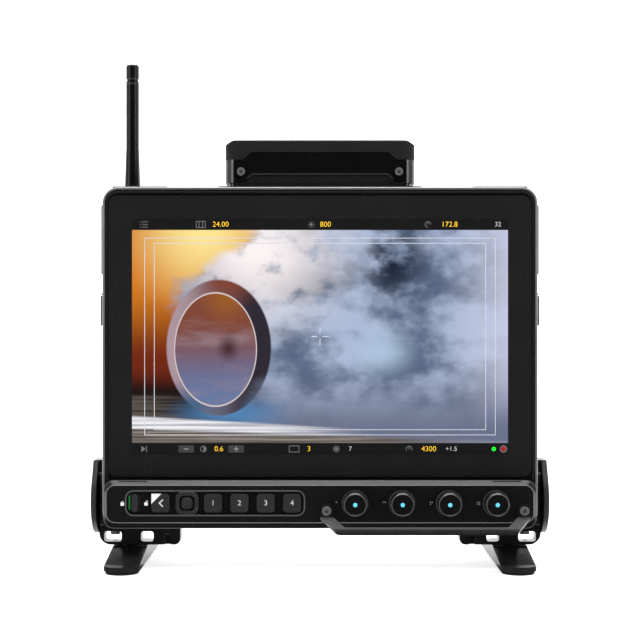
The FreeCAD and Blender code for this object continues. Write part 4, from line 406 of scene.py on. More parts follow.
# Painted highlight: the side plates, outside the brackets and in front of them, are painted lighter.
def plate_lines(tree, x, y, z):
    side = bracket.high.x
    beside = past(tree, calc(tree, "ABSOLUTE", x), side, side + PLATE_SOFT)
    return calc(tree, "MAXIMUM", beside, short_of(tree, y, bracket.front - PLATE_SOFT, bracket.front))


# Painted highlight: two light bands near the antenna's tip stand in for light caught by its rings.
def antenna_lines(tree, x, y, z):
    return calc(tree, "MAXIMUM", *[line_at(tree, z, whip.top - drop, BAND) for drop in BAND_DROPS])


LINED = {
    "bar_metal": (0.007, 0.16, 0.34, bar_lines),
    "knob_metal": (0.005, 0.15, 0.30, knob_lines),
    "guard_metal": (0.012, 0.12, 0.34, guard_lines),
    "bracket_metal": (0.009, 0.035, 0.30, plate_lines),
    "antenna_plastic": (0.003, 0.05, 0.28, antenna_lines),
}
for name, values in LINED.items():
    FINISHES[name] = lined_finish(name, *values)
for entry in frame["record"]["subparts"]:
    mesh = nodes[entry["node"]].data
    mesh.materials.clear()
    mesh.materials.append(FINISHES[entry["material_slot"]])

# %% [markdown]
# ## The picture on the screen
#
# The picture is a made-up scene: a wheel spins on a wet road before a warm glow, and smoke drifts from it
# to the right. It is a formula over the screen, with u running across and v running up, both from 0 to 1.
# The lit screen is the panel less its dark border, with a dark bar above and below the picture.

# %%
BORDER_SIDE, BORDER_TOP, BORDER_FOOT = 5.2, 5.1, 4.3
TOP_BAR, LOW_BAR = 6.4, 6.9

half_screen = lcd.half_x - BORDER_SIDE
screen_low = lcd.low.z + BORDER_FOOT
screen_high = lcd.high.z - BORDER_TOP
picture_low = screen_low + LOW_BAR
picture_high = screen_high - TOP_BAR
print("lit screen", round(2 * half_screen, 1), "by", round(screen_high - screen_low, 1), "mm")

# %% [markdown]
# A canvas holds the picture's nodes and the place on the screen. Ovals are given by their middle across and
# up and their half width and half height, and waves by how often they change across and up.

# %%
WAVE_ROUGHNESS = 0.55
CRISP = 0.02


class Canvas:
    """The nodes of the picture and the place u, v on the screen."""

    def __init__(self, tree):
        self.tree = tree
        x, y, z = places(tree)
        self.u = self.calc("MULTIPLY_ADD", x, 1.0 / (2 * half_screen * MM), 0.5)
        up = self.calc("SUBTRACT", z, picture_low * MM)
        self.v = self.calc("DIVIDE", up, (picture_high - picture_low) * MM)

    def calc(self, operation, *values):
        return calc(self.tree, operation, *values)

    def mix(self, first, second, share):
        return mix(self.tree, first, second, share)

    def ramp(self, low, high, value):
        return ramp(self.tree, low, high, value)

    def wave(self, across, up, seed, detail):
        """Soft random values from 0 to 1."""
        wide = self.calc("MULTIPLY", self.u, across)
        tall = self.calc("MULTIPLY", self.v, up)
        return cloud(self.tree, wide, tall, seed, 1.0, detail, WAVE_ROUGHNESS)

    def from_oval(self, oval):
        """0 in the middle of an oval and 1 on its outline."""
        across, up, wide, tall = oval
        dx = self.calc("DIVIDE", self.calc("SUBTRACT", self.u, across), wide)
        dy = self.calc("DIVIDE", self.calc("SUBTRACT", self.v, up), tall)
        square = self.calc("ADD", self.calc("POWER", dx, 2.0), self.calc("POWER", dy, 2.0))
        return self.calc("SQRT", square)

    def near(self, oval):
        """1 in the middle of an oval, falling softly to 0 at its outline."""
        return self.calc("SUBTRACT", 1.0, self.ramp(0.0, 1.0, self.from_oval(oval)))

    def within(self, oval):
        """1 inside an oval and 0 outside it."""
        return self.calc("SUBTRACT", 1.0, self.ramp(1.0 - CRISP, 1.0 + CRISP, self.from_oval(oval)))

    def under(self, height, soft):
        """1 under a line of the scene and 0 over it."""
        return self.ramp(-soft, soft, self.calc("SUBTRACT", height, self.v))


print("canvas ready")

# %% [markdown]
# The sky glows like embers. The smoke is made of puffs and finer wisps: a light and a dark puff stand out in
# it, it is pale over the wheel and hazy on the right, and its frayed edge leans over the wheel.

# %%
GLOW = (0.19, 1.0, 0.26, 0.45)
LIGHT_PUFF = (0.66, 0.43, 0.12, 0.16)
DARK_PUFF = (0.69, 0.84, 0.15, 0.34)
PALE_PUFF = (0.33, 0.90, 0.34, 0.50)
SKY_RISE, SKY_FOOT = (0.38, 0.78), (0.30, 0.07)
PUFFS, PUFF_STEP = (6.0, 4.5, 3.0, 4.0), (0.36, 0.64)
WISPS, DARK_STEP, PALE_STEP = (11.0, 8.0, 5.0, 6.0), (0.40, 0.60), (0.25, 0.50)
HAZE_STEP, SMOKE_FOOT = (0.80, 1.08), (0.22, 0.18)
LEAN, LEAN_STEP = 0.19, (0.30, 0.65)
CURL, CURL_STEP = -0.20, (0.68, 1.02)
FRAY, SMOKE_EDGE = 0.16, (0.27, 0.34)
EMBER, AMBER, GOLD = (0.17, 0.022, 0.008), (0.66, 0.20, 0.015), (1.0, 0.80, 0.30)
SOOT, INK = (0.014, 0.008, 0.008), (0.015, 0.022, 0.045)
SLATE, MIST, HAZE = (0.10, 0.14, 0.23), (0.42, 0.50, 0.68), (0.60, 0.62, 0.78)
ICE, CREAM, DUSK = (0.42, 0.55, 0.72), (0.98, 0.90, 0.90), (0.15, 0.17, 0.26)


def sky(canvas):
    colour = canvas.mix(EMBER, AMBER, canvas.ramp(*SKY_RISE, canvas.v))
    colour = canvas.mix(colour, GOLD, canvas.near(GLOW))
    return canvas.mix(colour, SOOT, canvas.under(*SKY_FOOT))


def smoke(canvas, wisps):
    colour = canvas.mix(SLATE, MIST, canvas.ramp(*PUFF_STEP, canvas.wave(*PUFFS)))
    colour = canvas.mix(colour, ICE, canvas.near(LIGHT_PUFF))
    dark = canvas.calc("MULTIPLY", canvas.near(DARK_PUFF), canvas.ramp(*DARK_STEP, wisps))
    colour = canvas.mix(colour, INK, dark)
    colour = canvas.mix(colour, HAZE, canvas.ramp(*HAZE_STEP, canvas.u))
    pale = canvas.calc("MULTIPLY", canvas.near(PALE_PUFF), canvas.ramp(*PALE_STEP, wisps))
    colour = canvas.mix(colour, CREAM, pale)
    return canvas.mix(colour, DUSK, canvas.under(*SMOKE_FOOT))


def smoke_share(canvas, wisps):
    """1 in the smoke and 0 before its edge."""
    edge = canvas.calc("MULTIPLY_ADD", canvas.ramp(*LEAN_STEP, canvas.v), LEAN, canvas.u)
    edge = canvas.calc("MULTIPLY_ADD", canvas.ramp(*CURL_STEP, canvas.v), CURL, edge)
    edge = canvas.calc("MULTIPLY_ADD", canvas.calc("SUBTRACT", wisps, 0.5), FRAY, edge)
    return canvas.ramp(*SMOKE_EDGE, edge)


print("sky and smoke ready")

# %% [markdown]
# The wheel is a dark tyre round a spinning disc, with a bright line where they meet.

# %%
TYRE, RIM, HUB = (0.231, 0.448, 0.139, 0.319), (0.222, 0.439, 0.109, 0.266), (0.256, 0.445, 0.040, 0.085)
TYRE_TOP, TYRE_FOOT = (0.25, 0.76, 0.12, 0.16), (0.16, 0.18, 0.14, 0.16)
DISC_TOP = (0.25, 0.70, 0.09, 0.18)
TYRE_STEP, DISC_STEP = (0.10, 0.32), (0.20, 0.58)
BLUR, BLUR_STEP = (4.0, 9.0, 6.0, 4.0), (0.45, 0.80)
RIM_LINE = (0.006, 0.020)
DUST, RUBBER = (0.42, 0.30, 0.34), (0.030, 0.024, 0.036)
RUST, NAVY = (0.22, 0.06, 0.035), (0.07, 0.13, 0.24)
STEEL, BRICK, ROSE = (0.13, 0.19, 0.36), (0.22, 0.065, 0.04), (0.34, 0.24, 0.27)
COPPER, UMBER, SILVER = (0.33, 0.11, 0.02), (0.07, 0.03, 0.035), (0.70, 0.60, 0.60)


def wheel(canvas):
    tyre = canvas.mix(DUST, RUBBER, canvas.ramp(*TYRE_STEP, canvas.u))
    tyre = canvas.mix(tyre, RUST, canvas.near(TYRE_TOP))
    tyre = canvas.mix(tyre, NAVY, canvas.near(TYRE_FOOT))
    disc = canvas.mix(STEEL, BRICK, canvas.ramp(*DISC_STEP, canvas.v))
    disc = canvas.mix(disc, ROSE, canvas.ramp(*BLUR_STEP, canvas.wave(*BLUR)))
    disc = canvas.mix(disc, COPPER, canvas.near(DISC_TOP))
    disc = canvas.mix(disc, UMBER, canvas.near(HUB))
    colour = canvas.mix(tyre, disc, canvas.within(RIM))
    gap = canvas.calc("ABSOLUTE", canvas.calc("SUBTRACT", canvas.from_oval(RIM), 1.0))
    return canvas.mix(colour, SILVER, canvas.calc("SUBTRACT", 1.0, canvas.ramp(*RIM_LINE, gap)))


print("wheel ready")

# %% [markdown]
# The road is streaked by the speed. A painted line and the ground before it cross the foot of the picture,
# and spray hides where the tyre meets the road. The parts are laid over each other from back to front.

# %%
ROAD, SPRAY, SPLASH = (0.0, 0.10, 0.22, 0.40), (0.26, 0.14, 0.20, 0.11), (0.36, 0.16, 0.09, 0.18)
STREAKS, ROAD_STEP, ROAD_EDGE = (2.0, 90.0, 4.0, 4.0), (0.3, 0.7), (0.22, 0.02)
PAINT_STEP, PAINT_FADE = (0.35, 0.6), (0.66, 0.30)
PAINT_TILT, PAINT_HEIGHT = -0.10, 0.125
GROUND_STEP, GROUND_FADE = (0.35, 0.7), (0.62, 1.0)
GROUND_TILT, GROUND_HEIGHT = -0.06, 0.067
ROAD_SOFT = 0.008
TAR, GRAVEL, WATER = (0.010, 0.008, 0.008), (0.20, 0.17, 0.15), (0.09, 0.24, 0.48)
CHALK, WHITE_PAINT = (0.42, 0.42, 0.47), (0.92, 0.91, 0.95)
EARTH, SAND, SHADE_BLUE = (0.07, 0.055, 0.05), (0.32, 0.28, 0.25), (0.24, 0.25, 0.34)
SCREEN_ROUGHNESS, SCREEN_SPECULAR = 0.12, 0.3


def roadside(canvas, colour, streaks):
    """Lays the painted line and the ground over the foot of the picture."""
    paint = canvas.mix(CHALK, WHITE_PAINT, canvas.ramp(*PAINT_STEP, streaks))
    line = canvas.calc("MULTIPLY_ADD", canvas.u, PAINT_TILT, PAINT_HEIGHT)
    band = canvas.calc("MULTIPLY", canvas.under(line, ROAD_SOFT), canvas.ramp(*PAINT_FADE, canvas.u))
    colour = canvas.mix(colour, paint, band)
    ground = canvas.mix(EARTH, SAND, canvas.ramp(*GROUND_STEP, streaks))
    ground = canvas.mix(ground, SHADE_BLUE, canvas.ramp(*GROUND_FADE, canvas.u))
    line = canvas.calc("MULTIPLY_ADD", canvas.u, GROUND_TILT, GROUND_HEIGHT)
    return canvas.mix(colour, ground, canvas.under(line, ROAD_SOFT))


def picture_finish():
    material, tree, shader = new_material("screen_picture")
    canvas = Canvas(tree)
    wisps = canvas.wave(*WISPS)
    streaks = canvas.wave(*STREAKS)
    colour = canvas.mix(sky(canvas), smoke(canvas, wisps), smoke_share(canvas, wisps))
    road = canvas.mix(TAR, GRAVEL, canvas.ramp(*ROAD_STEP, streaks))
    road_share = canvas.calc("MULTIPLY", canvas.under(*ROAD_EDGE), canvas.near(ROAD))
    colour = canvas.mix(colour, road, road_share)
    colour = canvas.mix(colour, WATER, canvas.near(SPRAY))
    clear = canvas.calc("SUBTRACT", 1.0, canvas.near(SPLASH))
    colour = canvas.mix(colour, wheel(canvas), canvas.calc("MULTIPLY", canvas.within(TYRE), clear))
    dress(shader, colour=(0.0, 0.0, 0.0, 1.0), rough=SCREEN_ROUGHNESS, specular=SCREEN_SPECULAR)
    dress(shader, light=roadside(canvas, colour, streaks), glow=1.0)
    return material


def lit(name, colour, strength=1.0):
    """A mark that shines by itself, such as lettering on the screen."""
    return finish(name, colour, 0.3, specular=0.1, depth=0.0, glow=strength)


picture = picture_finish()
print("picture formula has", len(picture.node_tree.nodes), "nodes")

# %% [markdown]
# ## Building blocks for meshes
#
# Flat marks all lie on planes that face the viewer, so one set of helpers covers them: boxes, discs,
# rings, domes, polygons and numerals, each given by its place across and up and by the depth of its
# faces. Several shapes go into one mesh, which then rides on a CAD body.

# %%
def about(middle, half):
    """The two ends of a span about its middle."""
    return (middle - half, middle + half)


def add_box(bm, x, z, y):
    """A box from pairs of millimetres in X, Z and Y."""
    made = bmesh.ops.create_cube(bm, size=1.0)["verts"]
    middle = Vector((sum(x), sum(y), sum(z))) * MM / 2
    extent = [abs(pair[1] - pair[0]) * MM for pair in (x, y, z)]
    place = Matrix.Translation(middle) @ Matrix.Diagonal((*extent, 1.0))
    bmesh.ops.transform(bm, matrix=place, verts=made)


def add_frame(bm, x, z, line, y):
    """A rectangle drawn with four thin lines."""
    for edge in z:
        add_box(bm, (x[0] - line / 2, x[1] + line / 2), about(edge, line / 2), y)
    for edge in x:
        add_box(bm, about(edge, line / 2), (z[0] + line / 2, z[1] - line / 2), y)


def add_polygon(bm, points, y):
    """A flat polygon of (x, z) places in millimetres, thickened between two depths."""
    front = [bm.verts.new((px * MM, y[0] * MM, pz * MM)) for px, pz in points]
    back = [bm.verts.new((px * MM, y[1] * MM, pz * MM)) for px, pz in points]
    bm.faces.new(front)
    bm.faces.new(list(reversed(back)))
    for k in range(len(points)):
        bm.faces.new([front[k - 1], back[k - 1], back[k], front[k]])


print("flat helpers ready")

# %% [markdown]
# Round shapes start from places round a circle, joined into bands.

# %%
def around(x, z, radius, steps, start=0.0):
    """Places round a circle. The first one can lie a share of a step on."""
    turns = [2 * math.pi * (k + start) / steps for k in range(steps)]
    return [(x + radius * math.cos(turn), z + radius * math.sin(turn)) for turn in turns]


def add_disc(bm, x, z, radius, y, steps=40):
    add_polygon(bm, around(x, z, radius, steps), y)


def add_rounded(bm, x, z, corner, y, steps=24):
    """A rectangle with rounded corners, from pairs of millimetres in X, Z and Y."""
    reach_x = (x[1] - x[0]) / 2 - corner
    reach_z = (z[1] - z[0]) / 2 - corner
    outline = []
    for dx, dz in around(0.0, 0.0, corner, steps, start=0.5):
        px = sum(x) / 2 + dx + math.copysign(reach_x, dx)
        pz = sum(z) / 2 + dz + math.copysign(reach_z, dz)
        outline.append((px, pz))
    add_polygon(bm, outline, y)


def add_band(bm, rows, closed=False):
    """Joins rows of corners into a band, closed on itself or open at its ends."""
    for one, two in zip(rows, rows[1:] + rows[:1] if closed else rows[1:]):
        for k in range(len(one)):
            bm.faces.new([one[k - 1], one[k], two[k], two[k - 1]])


def add_ring(bm, x, z, inner, outer, y, start=0.0, end=360.0, steps=48):
    """A flat ring or part of one, as a row of short blocks that share their corners."""
    whole = end - start >= 360.0
    rows = []
    for k in range(steps if whole else steps + 1):
        turn = math.radians(start + (end - start) * k / steps)
        corners = ((inner, y[0]), (outer, y[0]), (outer, y[1]), (inner, y[1]))
        rows.append([bm.verts.new(((x + r * math.cos(turn)) * MM, d * MM, (z + r * math.sin(turn)) * MM))
                     for r, d in corners])
    add_band(bm, rows, closed=whole)
    if not whole:
        bm.faces.new(rows[0])
        bm.faces.new(list(reversed(rows[-1])))


def add_dome(bm, x, z, y, half, height, square=2.0, rings=6, steps=40):
    """A low dome that faces the viewer. A larger square value makes its outline squarer."""
    rows = []
    for k in range(rings):
        turn = math.pi / 2 * k / rings
        row = []
        for cx, cz in around(0.0, 0.0, 1.0, steps):
            reach = half * math.cos(turn) / (abs(cx) ** square + abs(cz) ** square) ** (1.0 / square)
            place = (x + reach * cx, y - height * math.sin(turn), z + reach * cz)
            row.append(bm.verts.new(Vector(place) * MM))
        rows.append(row)
    add_band(bm, rows)
    tip = bm.verts.new(Vector((x, y - height, z)) * MM)
    for k in range(steps):
        bm.faces.new([rows[-1][k - 1], rows[-1][k], tip])
    bm.faces.new(list(reversed(rows[0])))


print("round helpers ready")

# %% [markdown]
# Numerals are made as text, turned into a mesh and set upright. A piece is one mesh with its material,
# and it rides on a CAD body.

# %%
TEXT_DEPTH = 0.02


def add_text(bm, text, x, z, y, size, thin=0.0):
    """Plain numerals centred on a place, facing the viewer, their strokes made thinner by an offset."""
    curve = bpy.data.curves.new("numerals", "FONT")
    curve.body = text
    curve.size = size * MM
    curve.extrude = TEXT_DEPTH * MM
    curve.offset = -thin * MM
    curve.align_x = "CENTER"
    curve.align_y = "CENTER"
    holder = bpy.data.objects.new("numerals", curve)
    bpy.context.scene.collection.objects.link(holder)
    bpy.context.view_layer.update()
    mesh = bpy.data.meshes.new_from_object(holder.evaluated_get(bpy.context.evaluated_depsgraph_get()))
    mesh.transform(Matrix.Translation(Vector((x, y, z)) * MM) @ Matrix.Rotation(math.radians(90), 4, "X"))
    bm.from_mesh(mesh)
    bpy.data.objects.remove(holder)
    bpy.data.curves.remove(curve)
    bpy.data.meshes.remove(mesh)


def piece(name, bm, material, body, smooth=False):
    """Turns the shapes into one object that rides on a CAD body."""
    bmesh.ops.recalc_face_normals(bm, faces=bm.faces)
    mesh = bpy.data.meshes.new(name)
    bm.to_mesh(mesh)
    bm.free()
    mesh.materials.append(material)
    if smooth:
        mesh.shade_smooth()
    thing = bpy.data.objects.new(name, mesh)
    bpy.context.scene.collection.objects.link(thing)
    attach(thing, body)
    print(name, len(mesh.polygons), "faces on", body)
    return thing


print("pieces can be made")

# %% [markdown]
# ## The screen
#
# The picture is a thin sheet on the front of the glass. Two dark bars above and below it hold readings,
# and thin framing lines with a centre mark lie over it.

# %%
SINK, SHEET_RISE, MARK_RISE, RAISED_RISE = 0.02, 0.03, 0.05, 0.06
SHEET = (glass.front - SHEET_RISE, glass.front + SINK)
MARKS = (glass.front - MARK_RISE, glass.front - SINK)
RAISED = (glass.front - RAISED_RISE, glass.front - SINK)
FIELD_EDGES = (-0.8442, -0.2891, 0.2918, 0.8442)
SPLIT = 0.3
PICTURE_CORNER = 0.4
LINE, CROSS_LINE = 0.4, 0.55
GUIDE_MARGINS = ((7.3, 4.7), (12.9, 7.7))
CROSS_NEAR, CROSS_FAR = 1.6, 5.0

bm = bmesh.new()
add_rounded(bm, about(0.0, half_screen), (picture_low, picture_high), PICTURE_CORNER, SHEET)
piece("screen_picture", bm, picture, "monitor")

bm = bmesh.new()
left, right = about(0.0, half_screen + SPLIT / 2)
edges = [left, *[share * half_screen for share in FIELD_EDGES], right]
for span in ((screen_low, picture_low), (picture_high, screen_high)):
    for left, right in zip(edges, edges[1:]):
        add_box(bm, (left + SPLIT / 2, right - SPLIT / 2), span, SHEET)
piece("screen_bars", bm, lit("screen_bar", (0.0065, 0.0065, 0.007), 0.6), "monitor")

bm = bmesh.new()
for side, rise in GUIDE_MARGINS:
    add_frame(bm, about(0.0, half_screen - side), (picture_low + rise, picture_high - rise), LINE, MARKS)
middle = (picture_low + picture_high) / 2
for start, end in ((CROSS_NEAR, CROSS_FAR), (-CROSS_FAR, -CROSS_NEAR)):
    add_box(bm, (start, end), about(middle, CROSS_LINE / 2), MARKS)
    add_box(bm, about(0.0, CROSS_LINE / 2), (middle + start, middle + end), MARKS)
piece("framing_lines", bm, lit("framing_line", (0.40, 0.41, 0.45), 0.55), "monitor")

# %% [markdown]
# The readings are plain numbers, each at its own place along the upper or the lower bar. The places of all
# marks on the two bars are shares of half the screen's width, counted from its middle.

# %%
TOP_SHARES = {"list": -0.9366, "film": -0.6342, "rate": -0.5285, "sun": -0.0460, "index": 0.0294,
              "shutter": 0.5744, "angle": 0.6893, "minutes": 0.9467}
LOW_SHARES = {"skip": -0.9357, "minus": -0.7123, "half_disc": -0.6204, "filter": -0.5377, "plus": -0.4458,
              "screen": -0.1379, "look": -0.0588, "ring": 0.0873, "curve": 0.1608, "dial": 0.4733,
              "white": 0.5790, "tint": 0.6985, "ready": 0.9246, "record": 0.9761}
READING, SMALL_READING = 4.3, 3.8
THIN = 0.06

at = {name: share * half_screen for name, share in {**TOP_SHARES, **LOW_SHARES}.items()}
top_line = (picture_high + screen_high) / 2
low_line = (picture_low + screen_low) / 2


def add_readings(bm, readings, z, size):
    for name, text in readings.items():
        add_text(bm, text, at[name], z, RAISED[0], size, THIN)


bm = bmesh.new()
add_readings(bm, {"rate": "24.00", "index": "800", "angle": "172.8"}, top_line, READING)
add_readings(bm, {"filter": "0.6", "look": "3", "white": "4300"}, low_line, READING)
piece("amber_readings", bm, lit("amber_reading", (0.80, 0.48, 0.02)), "monitor")

bm = bmesh.new()
add_readings(bm, {"minutes": "32"}, top_line, SMALL_READING)
add_readings(bm, {"curve": "7", "tint": "+1.5"}, low_line, SMALL_READING)
piece("pale_readings", bm, lit("pale_reading", (0.42, 0.42, 0.43)), "monitor")

# %% [markdown]
# The signs beside the readings are drawn from boxes, rings and discs. The upper bar has a list, a film
# frame, a sun and a shutter. The lower one has a skip mark, a half disc, a screen, a ring, a dial and the
# ring of the red lamp.

# %%
SIGN, STROKE = 1.8, 0.4
LIST_HALF, LIST_DOT, LIST_STEP = 2.3, 0.6, 1.5
FILM_HALF, FILM_BAR = 2.6, 1.0
SUN_DOT, SUN_RAYS = 0.25, 8
SHUTTER_END = 270.0
SKIP_HALF, SKIP_TIP, SKIP_BAR = 1.6, 0.8, 0.5
SCREEN_HALF = 2.8
DIAL_START, DIAL_END = -30.0, 210.0
NEEDLE, NEEDLE_FOOT, NEEDLE_TIP = 1.3, 0.3, 0.1
LAMP_RING = (1.5, 2.1)
band = (SIGN - STROKE, SIGN)

bm = bmesh.new()
start, end = about(at["list"], LIST_HALF)
for row in (-LIST_STEP, 0.0, LIST_STEP):
    rise = about(top_line + row, STROKE / 2)
    add_box(bm, (start, start + LIST_DOT), rise, MARKS)
    add_box(bm, (start + 2 * LIST_DOT, end), rise, MARKS)
add_frame(bm, about(at["film"], FILM_HALF), about(top_line, SIGN), STROKE, MARKS)
for offset in (-FILM_BAR, FILM_BAR):
    add_box(bm, about(at["film"] + offset, STROKE / 2), about(top_line, SIGN - STROKE / 2), MARKS)
add_disc(bm, at["sun"], top_line, SIGN / 2, MARKS)
for x, z in around(at["sun"], top_line, SIGN, SUN_RAYS):
    add_disc(bm, x, z, SUN_DOT, MARKS, steps=12)
add_ring(bm, at["shutter"], top_line, *band, MARKS, end=SHUTTER_END)
add_box(bm, about(at["shutter"], STROKE / 2), (top_line, top_line + SIGN - STROKE), MARKS)

rise = about(low_line, SIGN)
start, end = about(at["skip"], SKIP_HALF)
add_polygon(bm, [(start, rise[0]), (at["skip"] + SKIP_TIP, low_line), (start, rise[1])], MARKS)
add_box(bm, (end - SKIP_BAR, end), rise, MARKS)
add_ring(bm, at["half_disc"], low_line, *band, MARKS)
half_disc = [place for place in around(0.0, 0.0, SIGN - STROKE, 24) if round(place[0], 6) >= 0]
half_disc.sort(key=lambda place: place[1])
add_polygon(bm, [(at["half_disc"] + dx, low_line + dz) for dx, dz in half_disc], MARKS)
add_frame(bm, about(at["screen"], SCREEN_HALF), rise, STROKE, MARKS)
add_ring(bm, at["ring"], low_line, *band, MARKS)
add_disc(bm, at["ring"], low_line, SIGN / 2, MARKS)
add_ring(bm, at["dial"], low_line, *band, MARKS, start=DIAL_START, end=DIAL_END)
needle = [(-NEEDLE_FOOT, 0.0), (NEEDLE_FOOT, 0.0), (NEEDLE_TIP, NEEDLE), (-NEEDLE_TIP, NEEDLE)]
add_polygon(bm, [(at["dial"] + dx, low_line + dz) for dx, dz in needle], MARKS)
add_ring(bm, at["record"], low_line, *LAMP_RING, MARKS)
piece("screen_signs", bm, lit("screen_sign", (0.085, 0.085, 0.088)), "monitor")

# %% [markdown]
# Two step keys with a minus and a plus stand in the lower bar, and a green and a red lamp close it.

# %%
STEP_HALF, STEP_RISE, STEP_CORNER = 4.5, 2.1, 0.6
SIGN_HALF = 1.4
READY_LAMP, RECORD_LAMP, LAMP_RISE = 1.2, 1.4, 0.05

bm = bmesh.new()
for name in ("minus", "plus"):
    add_rounded(bm, about(at[name], STEP_HALF), about(low_line, STEP_RISE), STEP_CORNER, MARKS)
piece("step_keys", bm, lit("step_key", (0.030, 0.030, 0.031), 0.8), "monitor")

bm = bmesh.new()
for name in ("minus", "plus"):
    add_box(bm, about(at[name], SIGN_HALF), about(low_line, STROKE / 2), RAISED)
for start, end in ((-SIGN_HALF, -STROKE / 2), (STROKE / 2, SIGN_HALF)):
    add_box(bm, about(at["plus"], STROKE / 2), (low_line + start, low_line + end), RAISED)
piece("step_signs", bm, lit("step_sign", (0.20, 0.20, 0.205)), "monitor")

bm = bmesh.new()
add_dome(bm, at["ready"], low_line, SHEET[0], READY_LAMP, LAMP_RISE)
piece("ready_lamp", bm, lit("ready_lamp", (0.01, 0.80, 0.02)), "monitor")
bm = bmesh.new()
add_dome(bm, at["record"], low_line, SHEET[0], RECORD_LAMP, LAMP_RISE)
piece("record_lamp", bm, lit("record_lamp", (0.20, 0.008, 0.012)), "monitor")

# %% [markdown]
# ## Marks on the controls
#
# The function keys carry plain numerals, and the first key has a chevron and a white corner. Padlocks
# show which way the lock slides, and a green strip shows beside the slider. Dots number the knobs.

# %%
NUMERAL = 4.2
PRINT, PRINT_LIFT = 0.03, 0.01
CORNER = 5.8
CORNER_INSET = 0.75
CHEVRON, CHEVRON_LINE = 2.3, 0.55
key_print = finish("key_print", (0.62, 0.62, 0.63), 0.5, specular=0.3, depth=0.0)
white_print = finish("white_print", (0.80, 0.80, 0.81), 0.5, specular=0.3, depth=0.0)
soft_print = finish("soft_print", (0.30, 0.30, 0.305), 0.5, specular=0.3, depth=0.0)

for number, key in keys.items():
    bm = bmesh.new()
    add_text(bm, str(number), key.x, key.z, key.front - PRINT_LIFT, NUMERAL)
    piece("key_numeral_%d" % number, bm, key_print, "key_%d" % number)

face = about(back_key.front, PRINT)
left = back_key.low.x + CORNER_INSET
top = back_key.high.z - CORNER_INSET
bm = bmesh.new()
add_polygon(bm, [(left, top), (left, top - CORNER), (left + CORNER, top)], face)
piece("key_corner", bm, white_print, "back_key")

tip = back_key.x - CHEVRON / 2
bm = bmesh.new()
arms = [(CHEVRON, CHEVRON), (CHEVRON + CHEVRON_LINE, CHEVRON - CHEVRON_LINE), (2 * CHEVRON_LINE, 0.0)]
outline = [(0.0, 0.0), *arms, (CHEVRON + CHEVRON_LINE, CHEVRON_LINE - CHEVRON), (CHEVRON, -CHEVRON)]
add_polygon(bm, [(tip + dx, back_key.z + dz) for dx, dz in outline], (face[0] - PRINT_LIFT, face[1]))
piece("key_chevron", bm, key_print, "back_key")

# %% [markdown]
# The lock's strip lies on the sliding plate, which sits behind the bar's wall. It shows on the left of
# the grip, next to the closed padlock. The open padlock stands on the floor of the key pan.

# %%
BAR_WALL, LOCK_PLAY = 3.0, 0.2
TRAY_SINK = 1.1
STRIP_GAP, STRIP_WIDTH, STRIP_HALF = 3.1, 0.7, 4.3
STRIP_RISE, STRIP_SINK = 0.08, 0.02
PADLOCK, PADLOCK_DOWN, PADLOCK_UP = 2.0, 0.75, 0.15
SHACKLE = (0.5, 0.8)
CLOSED_GAP, OPEN_GAP, OPEN_LIFT = 1.5, 6.4, 0.5
DOT, DOT_STEP = 0.36, 1.1
DOT_LEFT = 10.6

closed_lock = (tray.low.x - CLOSED_GAP, bar.front, 0.0)
open_lock = (lock.x + OPEN_GAP, tray.front + TRAY_SINK, OPEN_LIFT)
low, high = lock.z - PADLOCK * PADLOCK_DOWN, lock.z + PADLOCK * PADLOCK_UP
bm = bmesh.new()
for x, depth, lift in (closed_lock, open_lock):
    span = about(depth, PRINT)
    add_box(bm, about(x, PADLOCK / 2), (low, high), span)
    add_ring(bm, x + lift, high + lift / 2, *SHACKLE, span, end=180.0, steps=16)
piece("padlock_signs", bm, white_print, "monitor")

bm = bmesh.new()
right = lock.x - STRIP_GAP
plate = bar.front + BAR_WALL + LOCK_PLAY
faces = (plate - STRIP_RISE, plate + STRIP_SINK)
add_rounded(bm, (right - STRIP_WIDTH, right), about(lock.z, STRIP_HALF), STRIP_WIDTH / 2, faces)
# Painted light: the strip is only print, but it glows a little so that it shows in the shade behind the
# bar's wall.
piece("lock_strip", bm, lit("lock_green_painted_glow", (0.02, 0.30, 0.05), 0.4), "lock")

bm = bmesh.new()
for count, knob in enumerate(knobs.values(), 1):
    for dot in range(count):
        x = knob.x - DOT_LEFT + DOT_STEP * (dot % 2)
        z = knob.z + DOT_STEP / 2 - DOT_STEP * (dot // 2)
        add_disc(bm, x, z, DOT, about(bar.front, PRINT), steps=16)
piece("knob_dots", bm, soft_print, "monitor")

# %% [markdown]
# ## Joystick and bar
#
# Eight low bumps on the joystick's ring help the thumb find its directions, and the cap has a domed
# crown. Two slits in the bar's upper bevel let warm air out; they are near-black boxes, painted shade for
# their insides.

# %%
RING_REACH = 5.65
BUMP, BUMP_HEIGHT = 0.8, 0.35
CROWN, CROWN_HEIGHT = 2.95, 0.55
SEAT = 0.05
SLIT_MARGIN, SLIT_LENGTH, SLIT = 8.9, 16.2, 0.35
SLIT_DOWN = 0.85

bm = bmesh.new()
for x, z in around(ring.x, ring.z, RING_REACH, 8):
    add_dome(bm, x, z, ring.front + SEAT, BUMP, BUMP_HEIGHT, steps=24)
piece("ring_bumps", bm, FINISHES["ring_plastic"], "monitor", smooth=True)

bm = bmesh.new()
add_dome(bm, cap.x, cap.z, cap.front + SEAT, CROWN, CROWN_HEIGHT, square=4.0)
piece("cap_crown", bm, FINISHES["key_rubber"], "joystick_top", smooth=True)

bm = bmesh.new()
depth = bar.front + BEVEL * SLIT_DOWN
height = bar.top - BEVEL * (1.0 - SLIT_DOWN)
middle = bar.half_x - SLIT_MARGIN - SLIT_LENGTH / 2
for side in (-1, 1):
    add_box(bm, about(side * middle, SLIT_LENGTH / 2), about(height, SLIT / 2), about(depth, SLIT))
